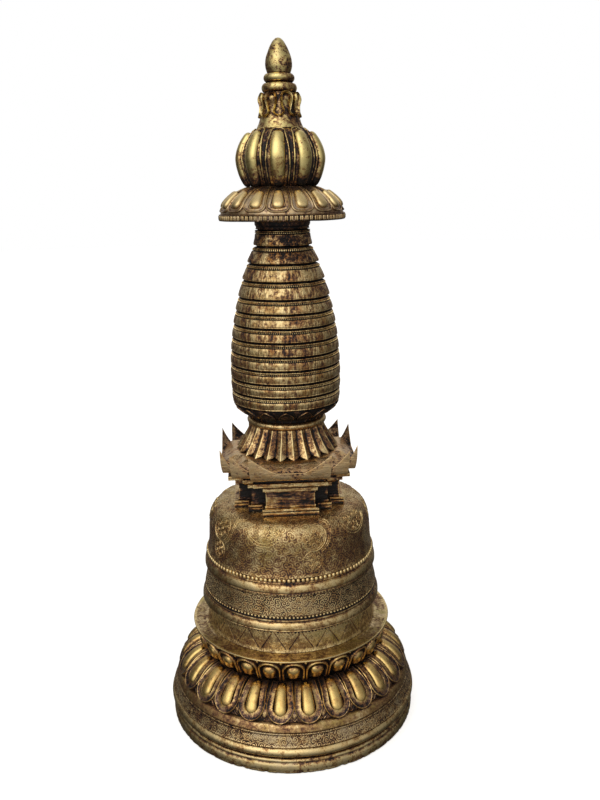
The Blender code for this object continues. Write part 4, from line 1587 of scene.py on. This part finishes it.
@dataclass(frozen=True)
class Plan:
    """A square plan with doubly stepped corners: half the front face, its distance out, the corner square."""

    half: float
    out: float
    square: float

    def inset(self, distance: float) -> "Plan":
        """Return the plan with every face moved in."""
        return Plan(self.half - distance, self.out - distance, self.square - distance)

    def corners(self) -> np.ndarray:
        """Return its twenty corners, from the front towards +X.

        Returns:
            One row for each corner.
        """
        half, out, square = self.half, self.out, self.square
        quarter = [(-half, -out), (half, -out), (half, -square), (square, -square), (square, -half)]
        turns = ((1, 0), (0, 1), (-1, 0), (0, -1))
        return np.array([(c * x - s * y, s * x + c * y) for c, s in turns for x, y in quarter])

    def steps(self, fineness: float) -> list[int]:
        """Return into how many steps each edge is cut.

        Args:
            fineness: the widest step, about.

        Returns:
            One number for each edge.
        """
        corners = self.corners()
        lengths = np.linalg.norm(np.roll(corners, -1, 0) - corners, axis=1)
        return [max(3, round(length / fineness)) for length in lengths]

    def row(self, height: float, steps: Sequence[int], turn: float) -> np.ndarray:
        """Return the plan's edge as points at a height, counter-clockwise.

        Args:
            height: the height.
            steps: into how many steps each edge is cut.
            turn: the angle of the plan on the stupa.

        Returns:
            One row for each point.
        """
        corners = self.corners()
        flat = np.vstack([start + (stop - start) * np.arange(count)[:, None] / count
                          for start, stop, count in zip(corners, np.roll(corners, -1, 0), steps)])
        return rotated(np.column_stack([flat, np.full(len(flat), height)]), turn)


@dataclass
class Harmika:
    """The plinth, block, cornice and crown, all on plans with stepped corners."""

    turn: float = radians(3.0)
    plinth: Plan = Plan(30.6, 61.3, 45.8)
    block: Plan = Plan(27.4, 56.6, 42.5)
    cornice_foot: Plan = Plan(29.5, 59.6, 45.8)
    cornice_head: Plan = Plan(40.0, 66.8, 51.0)
    cornice_neck: Plan = Plan(37.5, 64.0, 49.5)
    crown: Plan = Plan(43.7, 74.6, 63.8)
    edge: float = 313.6
    horn_height: float = 19.0
    horn_leg: float = 30.0
    lean: float = 2.4
    wall: float = 6.0
    soft: float = 0.45
    fineness: float = 1.3
    crease: float = radians(26)
    insets: tuple[float, ...] = (30, 24, 20, 17, 14.5, 12.4, 10.6, 9.0, 7.6, 6.4, 5.4, 4.5, 3.7, 3.0, 2.3,
                                 1.7, 1.2, 0.8, 0.45, 0.15)
    # The second number in side is the fascia's gold row by row. It is lighter at the fascia's top and bottom
    # edges, as painted highlights.
    side: tuple[Pair, ...] = ((0.03, 0.7), (0.09, 0), (0.25, 0.1), (0.4, 0.1), (0.55, 0.1), (0.7, 0.1),
                              (0.85, 0.2), (0.95, 0.7), (1, 0.3))

    def columns(self, steps: Sequence[int], face: float, side: float, edge: float) -> np.ndarray:
        """Return the gold of each column of a plan, with painted shade in the stepped corners and painted
        highlights on the upright edges.

        Args:
            steps: into how many steps each edge is cut.
            face: the gold on the four front faces.
            side: the gold in the stepped corners, lowered there as painted shade.
            edge: the gold on the upright edges of the front faces, raised there as painted highlights.

        Returns:
            One number for each point of a row.
        """
        columns = [np.full(count, side if index % 5 else face) for index, count in enumerate(steps)]
        for index, column in enumerate(columns):
            if index % 5 < 2:
                column[0] = edge
        return np.concatenate(columns)

    def body(self, node: str, shop: Workshop, profile: Sequence[tuple[Plan, float, float, float]],
             gold_and_shading: Triple) -> None:
        """Make a stepped body.

        Args:
            node: the CAD node.
            shop: the workshop.
            profile: (plan, inset, height, gold) from the head down. A row's gold also carries painted shade
                in grooves and painted highlights on rounded edges.
            gold_and_shading: the gold on its front faces, the painted shade in its stepped corners and the
                painted highlight on its upright edges.
        """
        steps = profile[0][0].steps(self.fineness)
        bore = self.block.inset(self.wall)
        lines = [*profile, (bore, 0, profile[-1][2], 0), (bore, 0, profile[0][2], 0)]
        rows = [plan.inset(inset).row(height, steps, self.turn) for plan, inset, height, _ in lines]
        gilt_and_shading = np.array([line for *_, line in lines])[:, None] + self.columns(steps, *gold_and_shading)
        shop.add(node, stacked(rows, gilt_and_shading), HARMIKA_BRONZE, crease=self.crease)

    def build(self, shop: Workshop) -> None:
        """Make the four pieces.

        Args:
            shop: the workshop that makes the pieces.
        """
        soft = self.soft
        at = span("harmika_plinth")
        groove = at.low + 4.2
        # The last number of each line is its gold. Grooves, the sunk band under the block's lip, the ground
        # under the cornice's head and the neck under the crown get painted shade, and rounded edges get
        # painted highlights. The closing triple gives painted shade to the stepped corners and painted
        # highlights to the upright edges.
        self.body("harmika_plinth", shop, [(self.plinth, *line) for line in (
            (1.2, at.high, 0), (soft, at.high - 0.1, 0.6), (0, at.high - soft, 0.6), (0, groove + 0.9, 0.1),
            (soft, groove + 0.5, -0.4), (1.5, groove + 0.4, -1.2), (1.5, groove - 0.4, -1.2),
            (soft, groove - 0.5, 0.4), (0, groove - 0.9, 0.6), (0, at.low, -0.2))], (0.3, -0.3, 0.8))
        at = span("harmika_block")
        self.body("harmika_block", shop, [(self.block, *line) for line in (
            (soft, at.high, 0), (0, at.high - soft, 0.4), (0.1, at.high - 1.6, 0), (0.8, at.high - 2.2, -0.3),
            (0.8, (at.low + at.high) / 2, 0), (0.8, at.low + 2.6, 0), (0.1, at.low + 2.0, 0.5),
            (0, at.low + soft, 0.2), (0, at.low, -0.5))], (0.25, -1.0, 1.5))
        at = span("harmika_cornice")
        foot, head_low, head_high = at.low + 3.7, at.low + 7.6, at.low + 12.1
        self.body("harmika_cornice", shop, [(plan, *line) for plan, lines in (
            (self.cornice_neck, ((0, at.high, -1), (0, head_high + 0.5, -1))),
            (self.cornice_head, ((1.4, head_high, -0.2), (soft, head_high - 0.1, 0.7),
                                 (0, head_high - 0.6, 0.7), (0, head_low + soft, 0.2),
                                 (soft, head_low, 0.5))),
            (self.cornice_foot, ((-4, head_low - 1, -0.5), (-1, foot + 0.6, -0.4), (0, foot, 0.7),
                                 (0, at.low + soft, 0.3), (soft, at.low, 0)))) for line in lines],
            (0.3, -0.4, 0.8))
        self.make_crown(shop)

    def horn(self, flat: np.ndarray) -> np.ndarray:
        """Return how far the horns rise above the crown's edge at points of its plan.

        Args:
            flat: places on the plan, as rows.

        Returns:
            One height for each place.
        """
        corners = self.crown.corners()
        rise = np.zeros(len(flat))
        for corner, before, after in zip(corners, np.roll(corners, 1, 0), np.roll(corners, -1, 0)):
            left, right = before - corner, after - corner
            if left[0] * right[1] - left[1] * right[0] > 0:
                continue
            lengths = [float(np.linalg.norm(leg)) for leg in (left, right)]
            near, far = ((flat - corner) @ (leg / length) / min(self.horn_leg, length)
                         for leg, length in zip((left, right), lengths))
            slope = np.clip(1 - near - far, 0, 1) ** 1.3
            rise = np.maximum(rise, np.where((near > -0.01) & (far > -0.01), self.horn_height * slope, 0))
        return rise

    def make_crown(self, shop: Workshop) -> None:
        """Make the crown: a stepped tray whose roof rises to the bell, with a horn on each outward corner.

        Args:
            shop: the workshop that makes the pieces.
        """
        at = span("harmika_crown")
        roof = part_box("pleated_skirt")[0].z / MM - 0.3
        steps = self.crown.steps(0.9)
        rows, gold_and_shading = [], []
        for inset in self.insets:
            row = self.crown.inset(inset).row(0.0, steps, self.turn)
            slope = min(max((inset - 2.5) / 13, 0), 1)
            tray = self.edge - 0.9 * min(inset / 1.5, 1) + (roof - self.edge + 0.6) * slope ** 0.8
            horn = self.edge + self.horn(rotated(row[:, :2], -self.turn)) - 0.2 * (inset < 0.3)
            row[:, 2] = np.maximum(tray, horn - 0.5 * (inset > 1))
            rows.append(row)
            # The rim and the horn edges are lighter, as painted highlights, and the trough just inside them
            # is darker, as painted shade.
            gold_and_shading.append(0.9 if inset < 0.6 else -0.35 if inset < 3.2 else 0.0)
        top = rows[-1][:, 2]
        for share, line in self.side:
            row = self.crown.inset(self.lean * share ** 3 + 0.5 * (share == 1)).row(0.0, steps, self.turn)
            row[:, 2] = top + (at.low - top) * share
            rows.append(row)
            gold_and_shading.append(line)
        rows += [self.crown.inset(31).row(height, steps, self.turn) for height in (at.low, roof - 2)]
        # Painted highlights on the upright edges of the front faces.
        gilt_and_shading = np.array(gold_and_shading + [0, 0])[:, None] + self.columns(steps, 0.0, 0.0, 0.5)
        shop.add("harmika_crown", stacked(rows, gilt_and_shading), CROWN_BRONZE, crease=self.crease)


@dataclass
class Skirt:
    """The pleated bell on the crown."""

    pleats: int = 24
    turn: float = radians(-7.0)
    head: float = 40.6
    hem: float = 57.0
    hem_rise: float = 3.4
    fold: float = 5.8

    def build(self, shop: Workshop) -> None:
        """Make the bell from one pleat.

        Args:
            shop: the workshop that makes the pieces.
        """
        at = span("pleated_skirt")
        profile = smooth([(self.head, at.high), (self.head + 2.6, at.high - 6.5),
                          (self.head + 8.4, at.high - 16.5), (self.hem, at.low - 0.8)], 1.3)
        across = np.linspace(-1, 1, 29)
        angle = across * pi / self.pleats
        dip = np.abs(across) ** 1.4
        rib = 0.5 * np.exp(-(across / 0.13) ** 2)
        rows = []
        for share, (radius, height) in zip(np.linspace(0, 1, len(profile)), profile):
            depth = self.fold * min(1.0, 0.3 + 0.9 * share)
            rows.append(polar(radius - depth * dip + rib, angle, height + dip * self.hem_rise * share ** 4))
        rows += [polar(self.hem - 8.5, angle, at.low + 2.4), polar(self.head - 7, angle, at.high)]
        grid = np.array(rows)
        gilt_and_shading = np.zeros(grid.shape[:2])
        # Each pleat's ridge is lighter, as a painted highlight, and its outer strips are darker, as painted
        # shade in the valleys between pleats.
        gilt_and_shading[:-2] = np.exp(-(across / 0.16) ** 2) - 0.7 * (np.abs(across) > 0.8)
        sector = Shape(grid.reshape(-1, 3), quads(len(grid), len(across), True, False),
                       grid[..., [0, 2]].reshape(-1, 2), gilt_and_shading.ravel())
        core, drop = self.head - 6, at.high - 6
        bed = turned([(core, at.high), (core, drop)], [(core - 1, drop), (core - 1, at.high)], 96)
        shop.add("pleated_skirt", bed, SKIRT_GILT, sector, self.pleats, self.turn)


@dataclass
class Spire:
    """The base ring, the dark calyx, the twelve rings and the collar under the parasol."""

    widest_height: float = 405.0
    widest: float = 60.0
    taper: float = 0.001493
    least: float = 29.4
    rings: int = 12
    # How many top rings, under the parasol, get the darker finish of painted shade.
    shaded_rings: int = 2
    dot_pitch: float = 2.15
    spacing: float = 0.4999
    wall: float = 9.0
    seed: int = 3
    segments: int = 176
    calyx_petals: int = 16
    # The third number is the gold. The lighter crest is a painted highlight, and the darker feet are painted
    # shade.
    calyx_rim: tuple[Triple, ...] = ((0, -1, -1), (0, 0.8, -0.2), (0.5, 1.5, 0.9), (1.1, 1.2, 0.3),
                                     (1.8, 0.6, -0.8), (4.6, 1.2, -0.6))

    def radius(self, height: float) -> float:
        """Return the spire's radius at a height."""
        return max(self.widest - self.taper * (height - self.widest_height) ** 2, self.least)

    def build(self, shop: Workshop) -> None:
        """Make the pieces from the bell to the parasol.

        Args:
            shop: the workshop that makes the pieces.
        """
        shop.rounded("spire_base_ring", SKIRT_GILT, 4.5, 12, 15, self.segments)
        at = span("spire_calyx")
        outline = at.side([(-1.6, 0), (-2.4, 2.6), (-6.6, 7.6)], [(-15.4, 4.6), (-17.6, 0)], 0.9)
        carrier = Carrier(outline)
        petal = Petal(carrier.length - 1, 0.6, 5.0, 8.6, self.calyx_rim, end_length=9, roundness=1.7,
                      curl=0.9, sides=8, end=16)
        shop.add("spire_calyx", turned(outline, at.bore(25.6), 144, -1.0), DARK_AND_SHADED_BRONZE, petal.shape(carrier),
                 self.calyx_petals, 0.0, radians(0.8))
        chance = np.random.default_rng(self.seed)
        for index in range(1, self.rings + 1):
            finish = SPIRE_TOP_SHADED_BRONZE if index <= self.shaded_rings else SPIRE_BRONZE
            self.make_ring(shop, f"spire_ring_{index:02d}", finish, float(chance.uniform(-1, 1)))
        shop.course("spire_collar", DARK_AND_SHADED_BRONZE, [(-0.5, 0), (0, 1.2), (-0.2, 4.5)],
                    [(-1.4, 2.2), (-0.9, 0)], 0.8, (self.wall,), 128)

    def make_ring(self, shop: Workshop, node: str, finish: Gilding, chance: float) -> None:
        """Make one ring of the spire: a rounded band over a thin lip, with a line of dots under its head.

        Args:
            shop: the workshop.
            node: the ring's node.
            finish: its finish.
            chance: from -1 to 1, how this ring differs from the others.
        """
        at = span(node)
        low, high = at.low, at.high
        belly = (low + high) / 2
        head, middle, foot = (self.radius(height) for height in (high, belly, low))
        sunk, brow = self.radius(high - 3.2) - 0.7, self.radius(high - 4.8) + 0.1
        crown = [(-2.9, 0), (-2.6, 0.5), (-0.6, 0.9), (0.1, 1.5), (-0.2, 2.1)]
        lip = [(0.3, 2.8), (-0.1, 2.4), (0.4, 1.7), (-0.3, 1.0), (-2.4, 0.6), (-2.8, 0)]
        outer = smooth([(head + out, high - fall) for out, fall in crown]
                       + [(sunk, high - 2.5), (sunk, high - 4.5), (brow, high - 5.0), (middle + 0.6, belly)]
                       + [(foot + out, low + rise) for out, rise in lip], self.spacing)
        bed = turned(outer, [(foot - self.wall, low), (head - self.wall, high)], self.segments)
        # Painted shade makes the grooves at the head and the foot black and darkens the sunk band under the
        # head. Painted highlights light the lip under the head and the lip over the foot.
        for bottom, top, gilt_and_shading in ((high - 0.8, high + 0.1, -1.6), (high - 2.2, high - 1.1, 0.9),
                                  (high - 4.9, high - 2.3, -1.1), (low - 0.1, low + 0.8, -1.6),
                                  (low + 1.2, low + 2.1, 0.6)):
            bed = bed.tinted(bottom, top, gilt_and_shading)
        dot = bead(Carrier(outer), 5.6, 0.72, 1.0, 1.3, gilt_and_shading=3.0, around=6, rings=3)
        shop.add(node, bed, finish, dot, round(tau * head / self.dot_pitch), 0.02 * chance, radians(0.2))


@dataclass
class Parasol:
    """The domed parasol with its petals, and the band of beads round its edge."""

    petals: int = 16
    turn: float = radians(-2.5)
    fullness: float = 1.54
    beads: int = 80
    bore: float = 21.5
    # The third number is the gold. The lighter crest is a painted highlight, and the darker feet and hollow
    # are painted shade.
    rim: tuple[Triple, ...] = (
        (0, -1, -0.9), (0, 0.5, -0.8), (0.4, 1.4, 0.6), (1.0, 1.6, 0.8), (1.6, 0.9, 0.1), (2.4, 0.6, 0.2),
        (3.4, 0.6, 0.2), (4.0, 0.7, 0.2), (4.6, 0.1, -0.8), (5.2, -0.2, -1.1))

    def build(self, shop: Workshop) -> None:
        """Make the parasol and the band.

        Args:
            shop: the workshop that makes the pieces.
        """
        at = span("parasol")
        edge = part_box("parasol_bead_rim")[1].z / MM + 0.6
        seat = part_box("melon_finial")[0].z / MM - 0.02
        head, stem, bore = at.radius - 32.7, span("spire_collar").radius, self.bore
        outline = domed((head - 0.8, at.high - 1.2), (at.radius - 1.4, edge), self.fullness, 36)
        carrier = Carrier(outline)
        end = carrier.length
        petal = Petal(0.6, end - 1.2, 5.9, 11.9, self.rim, end_length=8, roundness=3.0)
        boss = Boss(end - 28.6, end - 5.6, 4.4, 6.1, 3.9, foot=-0.3, squareness=2.6, swell=2.8, gilt_and_shading=2.1)
        seam = [(carrier.half_pitch(d, self.petals), d) for d in np.linspace(0.6, end - 6, 14)]
        sector = joined(petal.shape(carrier), boss.shape(carrier),
                        raised_line(carrier, seam, 0.45, 0.6, gilt_and_shading=0.3))
        under = [(at.radius - 1.6, edge - 0.7), (stem, edge - 0.7), (stem, at.low), (bore, at.low),
                 (bore, edge + 3), (at.radius - 12, edge + 3), (head + 9, at.high - 10), (bore, at.high - 6)]
        top = [(bore, seat), (head - 2, seat), (head - 1.5, at.high - 0.6)]
        shop.add("parasol", turned(top + outline, under, 192, -0.1), PARASOL_GILT, sector, self.petals,
                 self.turn, radians(0.6))
        at = span("parasol_bead_rim")
        wall = at.radius - 1.7
        outer = at.side([(-2.0, 0), (-0.7, 0.5), (-1.7, 1.2)], [(-1.7, 1.0), (-0.8, 0.4), (-2.0, 0)], 0.5)
        knob = Boss(0.7, at.high - at.low - 0.5, 2.05, 2.05, 2.0, squareness=3.2, swell=2.6, groove=0.8,
                    arc=8, side=3, rings=6, gilt_and_shading=0.75)
        shop.add("parasol_bead_rim", turned(outer, at.bore(6.7), 192, -0.6), PARASOL_GILT,
                 knob.shape(Carrier([(wall, at.high), (wall, at.low)])), self.beads, 0.0, radians(0.3))


@dataclass
class Finial:
    """The lobed melon, the leafed neck, the two rings and the bud."""

    lobes: int = 9
    lobe_turn: float = radians(-3.7)
    lobe_depth: float = 2.6
    lobe_steps: int = 22
    belly: float = 27.4
    widest: float = 43.4
    fullness: float = 1.6
    leaves: int = 8
    leaf_turn: float = radians(20.5)
    # The third number is the gold. The lighter crest is a painted highlight, and the darker feet and hollow
    # are painted shade.
    lobe_rim: tuple[Triple, ...] = ((0, -1.5, -1.2), (0, 0.3, -1), (0.45, 1.3, 1.2), (1.0, 1.6, 1.6),
                                    (1.6, 1.2, 0.4), (2.3, 0.1, -0.7), (3.4, -0.6, -1))
    leaf_rim: tuple[Triple, ...] = ((0, -3, -1), (0, -0.7, -1), (0.9, -0.7, -1), (1.9, -0.4, -0.6),
                                    (3.2, -0.2, -0.35))
    bud: tuple[Pair, ...] = ((0, 0), (0.25, 1.6), (1.0, 3.1), (2.3, 4.6), (4.1, 6.1), (8.9, 8.9),
                             (13.8, 11.0), (18.6, 12.8), (23.4, 13.6), (27.6, 13.6), (30.6, 12.9),
                             (33.6, 11.9))

    def build(self, shop: Workshop) -> None:
        """Make the five pieces.

        Args:
            shop: the workshop that makes the pieces.
        """
        self.make_melon(shop)
        self.make_neck(shop)
        for node in ("finial_ring_lower", "finial_ring_upper"):
            shop.rounded(node, FINIAL_GILT, 4.2, 8, 15, 96)
        top = span("bud").high
        outer = smooth([(reach, top - fall) for fall, reach in self.bud], 0.8)
        foot = outer[-1][1]
        shop.add("bud", turned(outer, [(6, foot), (0, foot)], 96, 0.3), BUD_GILT)

    def make_melon(self, shop: Workshop) -> None:
        """Make the melon: a lobed body with a bright rib on each lobe and thin ribs between.

        Args:
            shop: the workshop that makes the pieces.
        """
        at = span("melon_finial")
        belly = (self.widest, at.low + self.belly)
        lower = domed((31.5, at.low), belly, self.fullness, 22)
        outline = domed((23.5, at.high), belly, self.fullness, 24) + lower[-2::-1]
        ridge = Carrier(outline, self.lobes, self.lobe_depth)
        end = ridge.length
        boss = Boss(8.0, end - 1.0, 6.6, 6.0, 4.8, foot=-1.0, swell=2.4, rings=9, side=24, belly=1.7,
                    gilt_and_shading=1.3)
        petal = Petal(end - 0.8, 0.9, 10.0, 8.0, self.lobe_rim, end_length=8.5, sides=24, belly=4.4)
        tick = raised_line(ridge, [(0.0, d) for d in np.linspace(1.2, 6.0, 4)], 0.45, 0.9, gilt_and_shading=0.8)
        # The lobes' ornament darkens towards the melon's foot: painted shade on its underside.
        forms = joined(boss.shape(ridge), petal.shape(ridge), tick).darkened_downwards(at.low, at.low + 26, 3.6)
        count = self.lobes * self.lobe_steps
        angle = tau * np.arange(count) / count
        valley = self.lobe_depth * (1 - wave(angle, self.lobes))
        rows = [(r - 0.3 - valley * min(1.0, max(0.0, (r - 23) / 10)), z) for r, z in outline]
        rows += [(18.0, at.low), (18.0, at.high)]
        body = stacked([polar(reach, angle, z) for reach, z in rows], -0.9)
        body = replace(body, points=rotated(body.points, self.lobe_turn))
        shop.add("melon_finial", body, FINIAL_GILT, forms, self.lobes, self.lobe_turn, radians(0.5))

    def make_neck(self, shop: Workshop) -> None:
        """Make the neck: a flared stem with leaves that curl out, and a line that loops between them.

        Args:
            shop: the workshop that makes the pieces.
        """
        at = span("leaf_neck")
        outline = smooth([(17.6, at.high), (18.2, at.high - 8), (19.0, at.high - 16.5), (21.4, at.low + 7.0),
                          (24.6, at.low)], 0.9)
        curled = Carrier([(r + 2.3 * float(np.exp(-((d - 5.5) / 4.6) ** 2)), z)
                          for (r, z), d in zip(outline, run_lengths(outline))])
        half = curled.half_pitch(14, self.leaves)
        leaf = Petal(20, 1.2, 3.6, 4.9, self.leaf_rim, end=16)
        knots = [(0.0, 0.7), (2.9, 1.5), (4.7, 4.0), (5.2, 7.5), (4.4, 12.0)]
        knots += [(half - x, 12.0 + y) for x, y in ((3.9, 4.4), (4.6, 7.4), (2.7, 10.4), (0.0, 11.5))]
        path = smooth([(-x, y) for x, y in knots[:0:-1]] + knots, 0.8)
        ribbon = raised_line(curled, path, 1.2, 2.3, gilt_and_shading=0.5, sunk=3, split=0.9)
        bed = turned(outline, [(12, at.low), (12, at.high)], 128, 0.2).tinted(at.high - 21, at.high, -0.9)
        shop.add("leaf_neck", bed, FINIAL_GILT, joined(leaf.shape(curled), ribbon), self.leaves,
                 self.leaf_turn, radians(1.0))


# The studio


@dataclass
class Studio:
    """The floor, the soft light and the camera at the photograph's angle.

    Camera and lens are in metres and millimetres as Blender has them. glows holds the direction of each soft
    light, how tight it is and how strong.
    """

    camera_place: Triple = (0.015297, -0.885702, 0.599713)
    camera_pitch: float = radians(75.6735)
    camera_roll: float = radians(-1.0761)
    lens: float = 36.778
    sensor: float = 36.0
    floor_radius: float = 9000.0
    floor_top: float = -0.2
    floor_foot: float = -10.2
    floor_colour: Triple = (0.92, 0.92, 0.92)
    floor_glow: float = 0.62
    glows: tuple[tuple[Triple, float, float], ...] = (
        ((-0.42, -0.80, 0.72), 5.0, 1.35), ((0.75, -0.60, 0.35), 4.0, 0.16), ((0.0, 1.0, 0.12), 6.0, 0.28),
        ((0.0, 0.55, 0.83), 3.0, 0.50), ((0.0, -0.98, -0.12), 3.0, 0.22))

    def build(self) -> None:
        """Set up the camera, the floor and the world."""
        scene = bpy.context.scene
        scene.view_settings.view_transform = "Standard"
        data = bpy.data.cameras.new("camera")
        data.lens, data.sensor_width, data.sensor_fit = self.lens, self.sensor, "AUTO"
        camera = bpy.data.objects.new("camera", data)
        tilt = Matrix.Rotation(self.camera_pitch, 4, "X") @ Matrix.Rotation(self.camera_roll, 4, "Z")
        camera.matrix_world = Matrix.Translation(Vector(self.camera_place)) @ tilt
        scene.collection.objects.link(camera)
        scene.camera = camera
        self.lay_floor()
        self.light_world()

    def lay_floor(self) -> None:
        """Lay the pale floor."""
        disc = turned([(0, self.floor_top), (self.floor_radius, self.floor_top)],
                      [(self.floor_radius, self.floor_foot), (0, self.floor_foot)], 96)
        floor = bpy.data.objects.new("floor", disc.mesh("floor"))
        floor.visible_glossy = floor.visible_diffuse = False
        made = bpy.data.materials.new("pale_floor")
        made.use_nodes = True
        shader = made.node_tree.nodes["Principled BSDF"]
        for name, value in (("Base Color", (*self.floor_colour, 1.0)), ("Roughness", 0.7),
                            ("Emission Color", (1.0, 1.0, 1.0, 1.0)), ("Emission Strength", self.floor_glow)):
            shader.inputs[name].default_value = value
        floor.data.materials.append(made)
        bpy.context.scene.collection.objects.link(floor)

    def light_world(self) -> None:
        """Make a white backdrop whose light is soft: a broad glow in front, dimmer beside and below."""
        world = bpy.data.worlds.new("studio")
        world.use_nodes = True
        world.node_tree.nodes.clear()
        bpy.context.scene.world = world
        bench = Bench(world.node_tree)
        direction = bench.node("ShaderNodeTexCoord").outputs["Generated"]
        _, behind, up = bench.parts(direction)
        light = (up.over(-0.8, 0.6) * 0.22 + 0.11) * (behind.over(0.2, -0.8) * 0.68 + 0.32)
        for place, power, strength in self.glows:
            facing = bench.measure("DOT_PRODUCT", direction, tuple(Vector(place).normalized()))
            light = light + bench.math("POWER", bench.math("MAXIMUM", facing, 0.0), power) * strength
        soft = bench.node("ShaderNodeBackground", {"Color": (1.0, 0.98, 0.95, 1.0), "Strength": light})
        white = bench.node("ShaderNodeBackground", {"Color": (1.0, 1.0, 1.0, 1.0), "Strength": 1.0})
        seen = bench.node("ShaderNodeLightPath").outputs["Is Camera Ray"]
        both = bench.node("ShaderNodeMixShader", {0: seen, 1: soft.outputs[0], 2: white.outputs[0]})
        bench.node("ShaderNodeOutputWorld", {"Surface": both.outputs[0]})


def main() -> None:
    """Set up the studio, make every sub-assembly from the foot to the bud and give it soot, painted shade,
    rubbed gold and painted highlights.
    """
    logging.basicConfig(level=logging.INFO, format="%(name)s: %(message)s")
    Studio().build()
    shop = Workshop()
    for part in (Base(), Lotus(), Drum(), Dome(), Harmika(), Skirt(), Spire(), Parasol(), Finial()):
        part.build(shop)
    shop.age()
    shop.hand_over()


if __name__ == "__main__":
    main()
